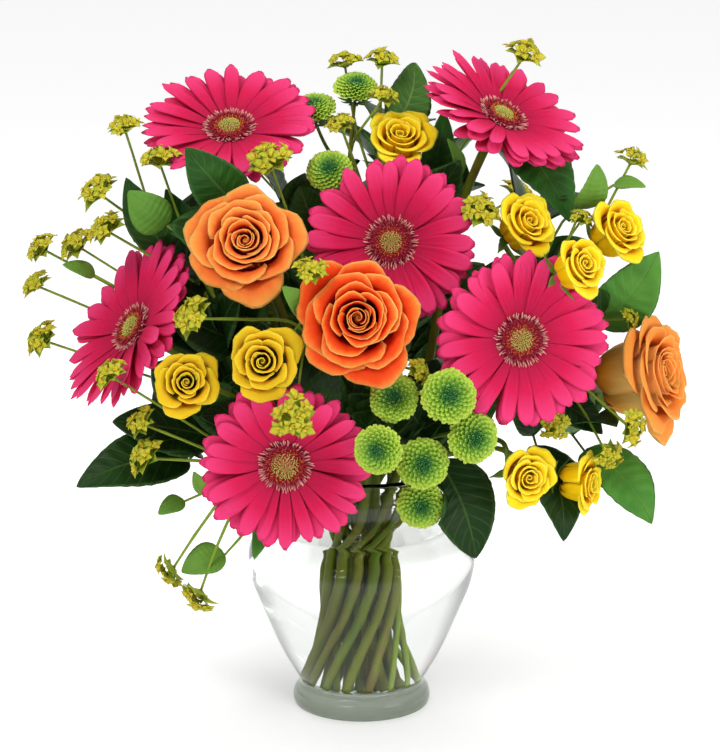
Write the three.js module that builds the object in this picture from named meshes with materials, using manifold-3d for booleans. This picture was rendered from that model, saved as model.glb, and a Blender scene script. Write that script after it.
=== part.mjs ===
// Gerberas in a vase: a round bouquet of cut flowers standing in a clear glass vase of water.
// Millimetres, +Z up, and -Y is the front. The origin is the middle of the vase's foot, where it stands.
import * as THREE from "three";
import Module from "manifold-3d";

const wasm = await Module();
wasm.setup();

// ---- Driving dimensions ----

const CLEARANCE = 0.35; // kept between pieces that touch or cross
const VASE_SIDES = 16;
const SMALLEST = 0.12; // steps smaller than this are smoothed away
const CORNERS_APART = 0.004; // corners nearer than this become one
const PULL = 0.03; // how far a corner where a surface meets itself is pulled back
// The glass in section, radius and height: under the foot, up the outside, over the lip and down inside.
const VASE_OUTSIDE = [
  [0, 0], [39, 0], [42, 4], [41.5, 10], [37, 14], [50, 38], [62, 66],
  [69, 92], [64, 107], [44, 119], [40, 127], [44, 139], [51, 149],
];
const VASE_INSIDE = [
  [49, 151], [41, 140], [36.8, 127], [41, 116], [60.5, 104],
  [66, 92], [59, 66], [47, 38.5], [33, 15], [0, 15],
];
// The water in section, a little clear of the glass.
const WATER = [
  [0, 15.8], [32, 15.8], [46.2, 38.6], [58.2, 66.1],
  [65.2, 92], [59.7, 103.6], [51, 109], [0, 109],
];
const FLOOR = 15; // the glass floor that the stems stand on
// The height where stems pass the neck, its inner radius, and the height and radius that clear the lip.
const NECK = { height: 130, inside: 34, over: 158, clear: 64 };

// Stems stand in three rings, and each ring turns the other way on its way up, so that they cross at a waist.
const TWIST = 106;
const RINGS = [
  { count: 13, radius: 27, way: 1 },
  { count: 8, radius: 17, way: -1 },
  { count: 5, radius: 7.5, way: 1 },
];

// Each bloom: its middle, which way it faces (degrees turned to the right and lifted up) and its radius.
const GERBERAS = [
  { name: "gerbera_top_left", at: [-77, -10, 355], turn: -5, lift: 59, reach: 53 },
  { name: "gerbera_top_right", at: [82, 0, 361], turn: 47, lift: 56, reach: 52 },
  { name: "gerbera_middle", at: [17, -48, 295], turn: -5, lift: 15, reach: 51 },
  { name: "gerbera_left", at: [-132, -45, 243.5], turn: -60, lift: 33, reach: 55 },
  { name: "gerbera_right", at: [90, -78, 244], turn: 12, lift: 10, reach: 52 },
  { name: "gerbera_low", at: [-43.5, -95, 175.5], turn: 0, lift: -4, reach: 51 },
];
const ROSES = [
  { name: "rose_left", at: [-65, -88, 303], turn: -6, lift: 22, reach: 36 },
  { name: "rose_middle", at: [-2, -114, 264], turn: -3, lift: 15, reach: 37 },
  { name: "rose_right", at: [174, -27, 213], turn: 62, lift: 14, reach: 40 },
];
const SPRAY_ROSES = [
  { name: "spray_rose_top", fork: [18, 2, 300], blooms: [{ at: [22.5, -12, 351], turn: 10, lift: 50, reach: 24 }] },
  {
    name: "spray_rose_high",
    fork: [92, -12, 262],
    blooms: [
      { at: [95.5, -45, 306], turn: 35, lift: 32, reach: 21.5 },
      { at: [124, -86, 289], turn: 42, lift: 25, reach: 20 },
      { at: [150, -35, 300.5], turn: 42, lift: 32, reach: 22 },
    ],
  },
  {
    name: "spray_rose_left",
    fork: [-66, -58, 200],
    blooms: [
      { at: [-98, -106, 226], turn: 4, lift: 18, reach: 21 },
      { at: [-55, -116, 240], turn: -4, lift: 14, reach: 23.5 },
    ],
  },
  {
    name: "spray_rose_low",
    fork: [78, -38, 176],
    blooms: [
      { at: [95.5, -80, 163.5], turn: 22, lift: 4, reach: 20.5 },
      { at: [131, -65, 156], turn: 62, lift: 2, reach: 19 },
    ],
  },
];
const BUTTON_MUMS = [
  {
    name: "button_mum_front",
    fork: [28, -50, 176],
    blooms: [
      { at: [18.5, -98, 215], turn: -12, lift: 24, reach: 14.5 },
      { at: [48.5, -104, 217.5], turn: 10, lift: 20, reach: 16 },
      { at: [62.5, -96, 191.5], turn: 22, lift: 4, reach: 15.5 },
      { at: [9.5, -110, 188], turn: -16, lift: 2, reach: 14.5 },
      { at: [34.5, -92, 175.5], turn: 4, lift: 2, reach: 15.5 },
      { at: [34, -80, 147.5], turn: 4, lift: -6, reach: 14.5 },
    ],
  },
  {
    name: "button_mum_top",
    fork: [-12, 10, 318],
    blooms: [
      { at: [-29, 15, 363], turn: -25, lift: 66, reach: 14.5 },
      { at: [-18.5, -22, 332], turn: -8, lift: 42, reach: 14 },
      { at: [-3.5, 14, 376], turn: 8, lift: 66, reach: 13.5 },
    ],
  },
];
// Salal branches: where the twig forks, and each leaf's root, tip and width.
const SALAL = [
  {
    name: "salal_left",
    fork: [-70, -15, 215],
    leaves: [
      { root: [-110, -15, 281], tip: [-135.5, -38, 331], width: 27 },
      { root: [-97, -12, 286], tip: [-114, -22, 322], width: 20 },
      { root: [-70, -46, 315], tip: [-99.5, -66, 352], width: 31 },
      { root: [-102, -38, 163], tip: [-165, -70, 155.5], width: 36 },
      { root: [-88, -36, 176], tip: [-145, -52, 190], width: 33 },
    ],
  },
  {
    name: "salal_right",
    fork: [92, 8, 205],
    leaves: [
      { root: [138, -12, 240], tip: [173, -28, 286], width: 35 },
      { root: [90, 16, 346], tip: [122, -18, 302], width: 40 },
      { root: [132, -28, 166], tip: [169.5, -60, 130], width: 36 },
      { root: [103, -34, 171], tip: [117, -72, 123], width: 34 },
      { root: [112, -26, 196], tip: [141, -44, 180], width: 24 },
    ],
  },
  {
    name: "salal_front",
    fork: [14, -34, 172],
    leaves: [
      { root: [44, -58, 168], tip: [66, -79, 115], width: 42 },
      { root: [-46, -62, 158], tip: [-62, -88, 117], width: 17 },
      { root: [-62, -52, 186], tip: [-92, -80, 200], width: 26 },
    ],
  },
  {
    name: "salal_back",
    fork: [6, 34, 232],
    leaves: [
      { root: [18, 18, 352], tip: [31, 8, 392], width: 30 },
      { root: [38, 10, 318], tip: [48, 2, 364], width: 24 },
      { root: [-48, 42, 300], tip: [-84, 66, 338], width: 38 },
      { root: [40, 50, 300], tip: [72, 74, 340], width: 40 },
      { root: [-70, 46, 240], tip: [-122, 64, 262], width: 40 },
      { root: [-24, 66, 252], tip: [-42, 104, 286], width: 42 },
      { root: [34, 66, 246], tip: [58, 104, 276], width: 42 },
      { root: [80, 44, 240], tip: [130, 62, 256], width: 42 },
      { root: [-62, 48, 196], tip: [-106, 76, 182], width: 38 },
      { root: [-12, 66, 198], tip: [-20, 112, 190], width: 42 },
      { root: [48, 60, 196], tip: [88, 92, 182], width: 40 },
      { root: [-4, 58, 168], tip: [-6, 88, 130], width: 40 },
    ],
  },
];
// Bupleurum sprays: the fork, the heads of star-shaped bracts with their spread, and the leaves.
const BUPLEURUM = [
  {
    name: "bupleurum_upper_left",
    fork: [-92, -22, 268],
    heads: [
      { at: [-137, -22, 356], spread: 10.5 },
      { at: [-151, -32, 320], spread: 13 },
      { at: [-116, -38, 339], spread: 12 },
      { at: [-146, -42, 300], spread: 12 },
    ],
    leaves: [{ root: [-112, -48, 305], tip: [-133, -58, 326], width: 24 }],
  },
  {
    name: "bupleurum_left",
    fork: [-98, -8, 234],
    heads: [
      { at: [-187, -12, 284], spread: 10.5 },
      { at: [-191, -12, 262], spread: 10.5 },
      { at: [-166, -10, 285], spread: 12 },
      { at: [-186, -22, 231], spread: 12 },
    ],
    leaves: [{ root: [-158, -8, 268], tip: [-176, -16, 276], width: 10 }],
  },
  {
    name: "bupleurum_low_left",
    fork: [-66, -60, 168],
    heads: [
      { at: [-141, -92, 226], spread: 10.5 },
      { at: [-124, -84, 196], spread: 10.5 },
      { at: [-121, -84, 176], spread: 13 },
      { at: [-110, -70, 106], spread: 10.5 },
      { at: [-94, -74, 93], spread: 12 },
    ],
    leaves: [
      { root: [-80, -62, 112], tip: [-105, -70, 104], width: 20 },
      { root: [-103, -64, 145], tip: [-118, -70, 139], width: 12 },
      { root: [-90, -64, 150], tip: [-97, -72, 165], width: 10 },
    ],
  },
  {
    name: "bupleurum_middle",
    fork: [-28, -42, 238],
    heads: [
      { at: [-52, -54, 341], spread: 14 },
      { at: [-93, -100, 261], spread: 13 },
      { at: [-28, -120, 291], spread: 9.5 },
      { at: [-37, -130, 212], spread: 13 },
      { at: [31, -92, 229], spread: 8 },
    ],
    leaves: [{ root: [-30, -92, 262], tip: [-44, -108, 281], width: 14 }],
  },
  {
    name: "bupleurum_top",
    fork: [14, 6, 284],
    heads: [
      { at: [95, 14, 394], spread: 13 },
      { at: [12, 10, 391], spread: 10.5 },
      { at: [-10, 28, 388], spread: 10.5 },
      { at: [12, -6, 372], spread: 9.5 },
      { at: [-12, -14, 357], spread: 9.5 },
      { at: [67, -52, 313], spread: 12 },
    ],
    leaves: [{ root: [58, -4, 326], tip: [50, -12, 350], width: 10 }],
  },
  {
    name: "bupleurum_right",
    fork: [104, -6, 238],
    heads: [
      { at: [158, -6, 335], spread: 10.5 },
      { at: [127, -34, 305], spread: 8 },
      { at: [156, -30, 246], spread: 7 },
      { at: [112, -66, 192], spread: 9.5 },
      { at: [154, -62, 190], spread: 12 },
      { at: [142, -62, 173], spread: 9.5 },
    ],
    leaves: [
      { root: [128, -22, 310], tip: [136, -34, 338], width: 20 },
      { root: [148, -8, 322], tip: [166, -16, 322], width: 10 },
    ],
  },
  {
    name: "bupleurum_back",
    fork: [-4, 58, 226],
    heads: [
      { at: [-66, 92, 316], spread: 13 },
      { at: [24, 104, 326], spread: 13 },
      { at: [96, 84, 300], spread: 13 },
      { at: [-104, 92, 226], spread: 13 },
      { at: [14, 122, 236], spread: 13 },
      { at: [110, 88, 216], spread: 13 },
    ],
    leaves: [],
  },
];
const STEM_RADIUS = { gerbera: 2.7, rose: 3, spray: 2.4, mum: 2.2, salal: 2.2, bupleurum: 1.6 };
const TWIG_RADIUS = 1.2;
const BLOOM_TWIG_RADIUS = 1.6;

const finish = (color, roughness, rest) =>
  new THREE.MeshStandardMaterial({ color, roughness, metalness: 0, ...rest });
const CLEAR = { transparent: true, opacity: 0.3 };
const FINISH = {
  glass: finish(0xdfe9e4, 0.05, CLEAR),
  water: finish(0xe8f2ef, 0.02, CLEAR),
  gerbera_ray: finish(0xdf2063, 0.55),
  gerbera_disc: finish(0xb9a13c, 0.8),
  rose_petal: finish(0xf78a42, 0.55),
  yellow_petal: finish(0xf2c21a, 0.55),
  mum_floret: finish(0x7fb33a, 0.7),
  stem: finish(0x71862f, 0.55),
  salal_leaf: finish(0x2f5a28, 0.4),
  bupleurum: finish(0x9aae34, 0.6),
};

// ---- Small tools ----

const UPWARD = new THREE.Vector3(0, 0, 1);
const point = (p) => new THREE.Vector3(...p);
const radians = THREE.MathUtils.degToRad;

// A draw from 0 to 1 that is the same for the same whole number each time.
function draw(number) {
  const swing = Math.sin(number * 12.9898) * 43758.5453;
  return swing - Math.floor(swing);
}

// A bloom's own frame: +Z is the way it faces, +X its right as seen from the front.
function bloomFrame({ at, turn, lift }) {
  const t = radians(turn);
  const l = radians(lift);
  const face = new THREE.Vector3(Math.sin(t) * Math.cos(l), -Math.cos(t) * Math.cos(l), Math.sin(l));
  const right = new THREE.Vector3(Math.cos(t), Math.sin(t), 0);
  const up = face.clone().cross(right);
  return new THREE.Matrix4().makeBasis(right, up, face).setPosition(...at);
}

function shape(points, index) {
  const geometry = new THREE.BufferGeometry().setFromPoints(points);
  geometry.setIndex(index);
  return geometry;
}

// A closed surface lofted through rings of points, each running anticlockwise as seen from the last ring.
// A ring has as many points as the one before, or more, or only one, and a larger first or last ring is
// closed flat.
function loft(rings) {
  const index = [];
  let a = 0;
  for (let k = 0; k + 1 < rings.length; k++) {
    const b = a + rings[k].length;
    const [low, high] = [rings[k].length, rings[k + 1].length];
    for (let i = 0; i < low; i++) {
      const j = (i + 1) % low;
      if (high === 1) index.push(a + i, a + j, b);
      else if (low > 1) index.push(a + i, a + j, b + Math.ceil((j * high) / low));
    }
    for (let i = 0; i < high && high > 1; i++) {
      index.push(a + Math.floor((i * low) / high), b + ((i + 1) % high), b + i);
    }
    a = b;
  }
  for (let i = 1; i + 1 < rings[0].length; i++) index.push(0, i + 1, i);
  for (let i = 1; i + 1 < rings.at(-1).length; i++) index.push(a, a + i, a + i + 1);
  return shape(rings.flat(), index);
}

// A turned shape from its section of [radius, height] points, with relief(side, ring) scaling each radius.
function turned(section, sides, relief = () => 1) {
  const rings = section.map(([radius, height], ring) => {
    if (radius === 0) return [new THREE.Vector3(0, 0, height)];
    return Array.from({ length: sides }, (_, side) => {
      const angle = (side / sides) * Math.PI * 2;
      const r = radius * relief(side, ring);
      return new THREE.Vector3(r * Math.cos(angle), r * Math.sin(angle), height);
    });
  });
  return loft(rings);
}

// A ring of points round a middle, in the plane of two directions.
function ringAt({ p, across, other }, radius, sides) {
  return Array.from({ length: sides }, (_, side) => {
    const angle = (side / sides) * Math.PI * 2;
    const r = typeof radius === "function" ? radius(side) : radius;
    return p.clone().addScaledVector(across, r * Math.cos(angle)).addScaledVector(other, r * Math.sin(angle));
  });
}

// A frame at each point of a path: the way along it and two directions across it, without a twist.
function framesAlong(points) {
  let across = new THREE.Vector3();
  return points.map((p, i) => {
    const along = points[Math.min(i + 1, points.length - 1)].clone().sub(points[Math.max(i - 1, 0)]).normalize();
    if (i === 0) across.set(Math.abs(along.x) > 0.8 ? 0 : 1, Math.abs(along.x) > 0.8 ? 1 : 0, 0);
    across = across.clone().addScaledVector(along, -across.dot(along)).normalize();
    return { p, along, across, other: along.clone().cross(across) };
  });
}

// A round bar along a path, with a radius at each point.
function bar(points, radii, sides) {
  return loft(framesAlong(points).map((frame, i) => ringAt(frame, radii[i], sides)));
}

// A closed petal through at(across, up), across from -1 to 1 and up from 0 to 1: two faces that meet in
// one edge all round and stand apart by the thickness between.
function petal(at, thickness, cellsAcross, cellsUp) {
  const points = [];
  const front = [];
  const back = [];
  const step = 0.01;
  for (let j = 0; j <= cellsUp; j++) {
    for (let i = 0; i <= cellsAcross; i++) {
      const across = (2 * i) / cellsAcross - 1;
      const up = j / cellsUp;
      const p = at(across, up);
      const edge = i === 0 || j === 0 || i === cellsAcross || j === cellsUp;
      const sideways = at(across + step, up).sub(p);
      const upward = at(across, up + step).sub(p);
      const out = sideways.cross(upward).setLength(edge ? 0 : thickness / 2);
      front.push(points.push(p.clone().add(out)) - 1);
      back.push(edge ? points.length - 1 : points.push(p.clone().sub(out)) - 1);
    }
  }
  const index = [];
  for (let j = 0; j < cellsUp; j++) {
    for (let i = 0; i < cellsAcross; i++) {
      const a = j * (cellsAcross + 1) + i;
      const b = a + cellsAcross + 1;
      index.push(front[a], front[a + 1], front[b + 1], front[a], front[b + 1], front[b]);
      index.push(back[a], back[b + 1], back[a + 1], back[a], back[b], back[b + 1]);
    }
  }
  return shape(points, index);
}

// ---- The bouquet's stems ----

// Where the stems stand on the floor and pass the neck: each ring's places, straight from one to the other.
const places = RINGS.flatMap(({ count, radius, way }) =>
  Array.from({ length: count }, (_, k) => {
    const foot = (k / count) * Math.PI * 2;
    const neck = foot + way * radians(TWIST);
    return {
      foot: new THREE.Vector3(radius * Math.cos(foot), radius * Math.sin(foot), FLOOR + CLEARANCE),
      neck: new THREE.Vector3(radius * Math.cos(neck), radius * Math.sin(neck), NECK.height),
      taken: false,
    };
  }),
);

// The free place at the neck that lies nearest to the way a stem leans.
const LEAN = { share: 0.3, most: 27 };
function takePlace(end) {
  const lean = Math.hypot(end.x, end.y) || 1;
  const wanted = Math.min(LEAN.most, lean * LEAN.share) / lean;
  const free = places.filter((place) => !place.taken);
  const far = ({ neck }) => Math.hypot(neck.x - end.x * wanted, neck.y - end.y * wanted);
  const best = free.reduce((a, b) => (far(b) < far(a) ? b : a));
  best.taken = true;
  return best;
}

const PATH_STEPS = 5;
const TWIG_STEPS = 3;
const FORKS_FROM = 0.6; // the share of the way up from where twigs leave
const FORK_LOOK = 0.2; // the share of the stem below a fork that a twig takes its way from
const NECK_RISE = 0.6; // how much more upright a stem turns as it leaves the neck
const HANDLES = { leave: 0.38, arrive: 0.3 }; // of a curve, as shares of its span
const paths = []; // every stem and twig: its piece, radius and points, and how many first points are held

// A curve from one point to another that leaves and arrives in the given ways.
function curve(from, leave, to, arrive, steps) {
  const length = from.distanceTo(to);
  const bend = new THREE.CubicBezierCurve3(
    from,
    from.clone().addScaledVector(leave, length * HANDLES.leave),
    to.clone().addScaledVector(arrive, -length * HANDLES.arrive),
    to,
  );
  return bend.getPoints(steps);
}

function growStem(piece, radius, end, arrive) {
  const { foot, neck } = takePlace(end);
  const leave = neck.clone().sub(foot).normalize().addScaledVector(UPWARD, NECK_RISE).normalize();
  const points = [foot, ...curve(neck, leave, end, arrive, PATH_STEPS)];
  const path = { piece, radius, points, held: 2 };
  paths.push(path);
  return path;
}

// The place a share of the way from a stem's neck to its end.
function along(stem, share) {
  const place = 1 + share * (stem.points.length - 2);
  const k = Math.min(Math.floor(place), stem.points.length - 2);
  return stem.points[k].clone().lerp(stem.points[k + 1], place - k);
}

// A twig leaves its stem a share of the way up and ends at a bloom, a leaf or a head of bracts.
function growTwig(piece, radius, stem, share, end, arrive) {
  const fork = along(stem, share);
  const leave = fork.clone().sub(along(stem, share - FORK_LOOK)).normalize();
  const path = { piece, radius, points: curve(fork, leave, end, arrive, TWIG_STEPS), held: 1, stem, share };
  paths.push(path);
  return path;
}

const behind = (bloom, depth) => new THREE.Vector3(0, 0, -depth).applyMatrix4(bloomFrame(bloom));
const facing = (bloom) => new THREE.Vector3(0, 0, 1).transformDirection(bloomFrame(bloom));

const GERBERA_NECK = 14; // from the middle of the bloom back to where its stem begins
const ROSE_DEPTH = 1.05; // the same for roses and mums, as a share of their radius
const MUM_DEPTH = 0.52 + CLEARANCE / 14;
const growBloom = (bloom, radius, depth) => growStem(bloom.name, radius, behind(bloom, depth), facing(bloom));
const gerberaStems = GERBERAS.map((bloom) => growBloom(bloom, STEM_RADIUS.gerbera, GERBERA_NECK));
const roseStems = ROSES.map((bloom) => growBloom(bloom, STEM_RADIUS.rose, bloom.reach * ROSE_DEPTH));

// A branching stem: up to its fork, then a twig to each end.
function growSpray(spray, radius, ends) {
  const middle = ends.reduce((sum, { end }) => sum.add(end), new THREE.Vector3()).divideScalar(ends.length);
  const way = middle.sub(point(spray.fork)).normalize().add(UPWARD).normalize();
  const stem = growStem(spray.name, radius, point(spray.fork), way);
  const twigs = ends.map(({ end, arrive, thick = TWIG_RADIUS }, k) => {
    const share = 1 - ((1 - FORKS_FROM) * k) / ends.length;
    return growTwig(spray.name, thick, stem, share, end, arrive);
  });
  return { stem, twigs };
}

const bloomEnds = (spray, depth) =>
  spray.blooms.map((bloom) => ({
    end: behind(bloom, bloom.reach * depth),
    arrive: facing(bloom),
    thick: BLOOM_TWIG_RADIUS,
  }));
const leafEnds = (leaves) =>
  leaves.map(({ root, tip }) => ({ end: point(root), arrive: point(tip).sub(point(root)).normalize() }));
const headEnds = (heads, fork) =>
  heads.map(({ at }) => ({ end: point(at), arrive: point(at).sub(point(fork)).normalize() }));

const roseSprays = SPRAY_ROSES.map((spray) => growSpray(spray, STEM_RADIUS.spray, bloomEnds(spray, ROSE_DEPTH)));
const mumSprays = BUTTON_MUMS.map((spray) => growSpray(spray, STEM_RADIUS.mum, bloomEnds(spray, MUM_DEPTH)));
const salalSprays = SALAL.map((spray) => growSpray(spray, STEM_RADIUS.salal, leafEnds(spray.leaves)));
const bupleurumSprays = BUPLEURUM.map((spray) =>
  growSpray(spray, STEM_RADIUS.bupleurum, [...headEnds(spray.heads, spray.fork), ...leafEnds(spray.leaves)]),
);

// Bloom heads that stems go round: a ball for the deep ones, a flat drum for a gerbera.
const DRUM = { half: 10, wider: 4 }; // half its height, and how much wider than the gerbera it is
const ROSE_BALL = { depth: 0.5, size: 0.92 }; // as shares of the rose's radius
const MUM_WIDER = 1;
const allBlooms = (sprays) =>
  sprays.flatMap((spray) => spray.blooms.map((bloom) => ({ ...bloom, name: spray.name })));
const heads = [
  ...GERBERAS.map((bloom) => ({ bloom, flat: true, size: bloom.reach + DRUM.wider })),
  ...[...ROSES, ...allBlooms(SPRAY_ROSES)].map((bloom) => ({
    bloom,
    depth: ROSE_BALL.depth,
    size: bloom.reach * ROSE_BALL.size,
  })),
  ...allBlooms(BUTTON_MUMS).map((bloom) => ({ bloom, depth: 0, size: bloom.reach + MUM_WIDER })),
].map((head) => ({ ...head, frame: bloomFrame(head.bloom), back: bloomFrame(head.bloom).invert() }));

// How far a point has to move to leave a bloom head.
function outOfHead(head, p, radius) {
  if (head.flat) {
    const local = p.clone().applyMatrix4(head.back);
    const inside = Math.hypot(local.x, local.y) < head.size + radius;
    if (!inside || Math.abs(local.z) > DRUM.half + radius) return null;
    const way = -DRUM.half - radius - local.z;
    return new THREE.Vector3(0, 0, way).applyMatrix4(head.frame).sub(point(head.bloom.at));
  }
  const middle = new THREE.Vector3(0, 0, -head.depth * head.bloom.reach).applyMatrix4(head.frame);
  const off = p.clone().sub(middle);
  const deep = head.size + radius - off.length();
  return deep > 0 ? off.setLength(deep) : null;
}

const ROUNDS = 60;
const APART = 1.4; // kept between stems, more than the clearance because their sides are flat
const EASE = 0.25; // how much of each move is shared with the next points along the stem
const PUSH = 0.6; // how much of what is missing each round makes up
const TESTED = [0, 1 / 3, 2 / 3]; // the places along a segment that are held against the bloom heads

// The nearest points of two segments, as shares of their lengths.
function nearest(a, b, c, d) {
  const u = b.clone().sub(a);
  const v = d.clone().sub(c);
  const w = a.clone().sub(c);
  const uu = u.dot(u);
  const uv = u.dot(v);
  const vv = v.dot(v);
  const flat = uu * vv - uv * uv;
  const clamp = (x) => Math.min(Math.max(x, 0), 1);
  const s = flat < 1e-9 ? 0 : clamp((uv * v.dot(w) - vv * u.dot(w)) / flat);
  const t = clamp((uv * s + v.dot(w)) / vv);
  return [clamp((uv * t - u.dot(w)) / uu), t];
}

// Whether two segments are further apart than wanted along one of the axes.
function farApart(a, b, c, d, wanted) {
  return ["x", "y", "z"].some((axis) => {
    const [low, high] = [Math.min(a[axis], b[axis]), Math.max(a[axis], b[axis])];
    return low > Math.max(c[axis], d[axis]) + wanted || Math.min(c[axis], d[axis]) > high + wanted;
  });
}

// Stems bend clear of each other, of the bloom heads and of the vase's lip, a little in each round.
function bendClear() {
  for (let round = 0; round < ROUNDS; round++) {
    const moves = paths.map((path) => path.points.map(() => new THREE.Vector3()));
    const segments = paths.flatMap((path, n) => path.points.slice(1).map((_, k) => ({ path, n, k })));
    segments.forEach((one, i) => {
      const a = one.path.points[one.k];
      const b = one.path.points[one.k + 1];
      for (const two of segments.slice(i + 1)) {
        if (two.path.piece === one.path.piece) continue;
        const c = two.path.points[two.k];
        const d = two.path.points[two.k + 1];
        const wanted = one.path.radius + two.path.radius + APART;
        if (farApart(a, b, c, d, wanted)) continue;
        const [s, t] = nearest(a, b, c, d);
        const gap = a.clone().lerp(b, s).sub(c.clone().lerp(d, t));
        const short = wanted - gap.length();
        if (short <= 0) continue;
        gap.setLength(short * PUSH);
        moves[one.n][one.k].addScaledVector(gap, 1 - s);
        moves[one.n][one.k + 1].addScaledVector(gap, s);
        moves[two.n][two.k].addScaledVector(gap, t - 1);
        moves[two.n][two.k + 1].addScaledVector(gap, -t);
      }
    });
    paths.forEach((path, n) => {
      const last = path.points.length - 1;
      path.points.slice(1).forEach((b, k) => {
        if (path.stem === undefined && k === 0) return;
        const a = path.points[k];
        for (const share of TESTED) {
          const p = a.clone().lerp(b, share);
          const move = new THREE.Vector3();
          for (const head of heads) {
            const own = head.bloom.name === path.piece && k > last - 2;
            const away = own ? null : outOfHead(head, p, path.radius);
            if (away) move.add(away);
          }
          const out = Math.hypot(p.x, p.y);
          if (out > NECK.inside && out < NECK.clear && p.z < NECK.over) move.z += NECK.over - p.z;
          moves[n][k].addScaledVector(move, (1 - share) * PUSH);
          moves[n][k + 1].addScaledVector(move, share * PUSH);
        }
      });
      path.points.forEach((_, k) => {
        if (k < path.held || k === last) moves[n][k].set(0, 0, 0);
      });
      path.points.forEach((p, k) => {
        if (k < path.held || k === last) return;
        const shared = moves[n][k - 1].clone().add(moves[n][k + 1]).multiplyScalar(EASE / 2);
        p.addScaledVector(moves[n][k], 1 - EASE / 2).add(shared);
      });
    });
    for (const path of paths) if (path.stem) path.points[0] = along(path.stem, path.share);
  }
}
bendClear();

// ---- The pieces ----

const pieces = [];
const addPiece = (name, finish, shapes) => pieces.push({ name, finish, shapes });
const placed = (geometry, bloom) => geometry.applyMatrix4(bloomFrame(bloom));
const even = (path) => path.points.map(() => path.radius);
const STEM_SIDES = 4;
const HIP_SIDES = 5;
const TWIG_SIDES = 3;

function stemBar(path, sides = STEM_SIDES) {
  return bar(path.points, even(path), sides);
}

// A gerbera's strap-like rays stand in two layers of as many, the back ones between the front ones, flat on
// top and keeled below. Both run out from one thin hub, whose wall goes in and out between their roots.
const RAYS = 16;
const RAY_ROOT = 12;
const RAY_THICKNESS = 1.4;
const RAY_SAG = 2;
const FRONT_RAYS = { offset: 0, root: -0.9, lift: 14, length: 1, stations: [[0.74, 5.6], [1, 2.6]] };
const BACK_RAYS = { offset: 0.5, root: -2.7, lift: 6, length: 0.94, stations: [[0.7, 5.6], [1, 2.6]] };
// By chance a ray turns by a share of the step, lifts by degrees and is shorter by a share.
const RAY_CHANCE = { turn: 0.1, lift: 4, length: 0.05, liftDraw: 17, lengthDraw: 31 };

function gerberaRays(bloom, seed) {
  const step = (Math.PI * 2) / RAYS;
  const points = [];
  const index = [];
  const add = (angle, out, side, height) => {
    const [cos, sin] = [Math.cos(angle), Math.sin(angle)];
    return points.push(new THREE.Vector3(out * cos - side * sin, out * sin + side * cos, height)) - 1;
  };
  const around = (turn, out, height) =>
    Array.from({ length: RAYS }, (_, k) => add((k + turn) * step, out, 0, height));
  const crown = add(0, 0, 0, FRONT_RAYS.root);
  const base = add(0, 0, 0, BACK_RAYS.root - RAY_THICKNESS);
  const frontNotches = around(-0.5, RAY_ROOT, FRONT_RAYS.root - RAY_THICKNESS / 2);
  const frontKeels = around(0, RAY_ROOT - 1, FRONT_RAYS.root - RAY_THICKNESS);
  const backNotches = around(0, RAY_ROOT, BACK_RAYS.root);

  // One ray from the edge between its two notches: its top, then its underside from its first keel point.
  const ray = (layer, k, right, left, under) => {
    const pick = seed * 100 + layer.root * 10 + k;
    const angle = (k + layer.offset + (draw(pick) - 0.5) * RAY_CHANCE.turn) * step;
    const lift = layer.lift + (draw(pick + RAY_CHANCE.liftDraw) - 0.5) * RAY_CHANCE.lift;
    const slope = Math.tan(radians(lift));
    const shorter = RAY_CHANCE.length * (1 - draw(pick + RAY_CHANCE.lengthDraw));
    const long = (bloom.reach * layer.length - RAY_ROOT) * (1 - shorter);
    let edge = [right, left];
    let keel = under;
    for (const [share, half] of layer.stations) {
      const out = RAY_ROOT + long * share;
      const height = layer.root + slope * long * share - RAY_SAG * share ** 2;
      const next = [add(angle, out, -half, height), add(angle, out, half, height)];
      index.push(edge[0], next[0], next[1], edge[0], next[1], edge[1]);
      if (share < 1) {
        const deep = add(angle, out, 0, height - RAY_THICKNESS);
        index.push(edge[0], deep, next[0], edge[1], next[1], deep);
        index.push(edge[0], keel, deep, keel, edge[1], deep);
        keel = deep;
      } else index.push(edge[0], keel, next[0], keel, next[1], next[0], keel, edge[1], next[1]);
      edge = next;
    }
  };
  for (let k = 0; k < RAYS; k++) {
    const j = (k + 1) % RAYS;
    index.push(crown, frontNotches[k], frontNotches[j]);
    ray(FRONT_RAYS, k, frontNotches[k], frontNotches[j], frontKeels[k]);
    index.push(backNotches[k], backNotches[j], frontNotches[j]);
    index.push(backNotches[k], frontNotches[j], frontKeels[k]);
    index.push(backNotches[j], frontKeels[j], frontNotches[j]);
    ray(BACK_RAYS, k, backNotches[k], backNotches[j], base);
  }
  return [placed(shape(points, index), bloom)];
}

// A gerbera's disc: a raised ring of short florets, in relief, round a low button.
const DISC = [[0, 0], [13, 0], [15.4, 3], [11.5, 5.4], [7.5, 3.4], [0, 5.2]];
const DISC_SIDES = 14;
const DISC_RELIEF = 0.08;

function gerberaDisc(bloom) {
  const teeth = (side, ring) => (ring < 2 ? 1 : 1 + DISC_RELIEF * (side % 2 === ring % 2 ? 1 : -1));
  return [placed(turned(DISC, DISC_SIDES, teeth), bloom)];
}

// The calyx is the stem's own end, widening to the back of the hub: its heights and radii.
const CALYX = [[-13.5, 2.7], [-8.5, 8.5], [-4.3 - CLEARANCE, 11]];
const CALYX_SIDES = 5;

function gerberaStem(bloom, path) {
  const points = path.points.slice(0, -1).concat(CALYX.map(([z]) => behind(bloom, -z)));
  const radii = even(path).slice(0, -1).concat(CALYX.map(([, radius]) => radius));
  return [bar(points, radii, CALYX_SIDES)];
}

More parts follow.
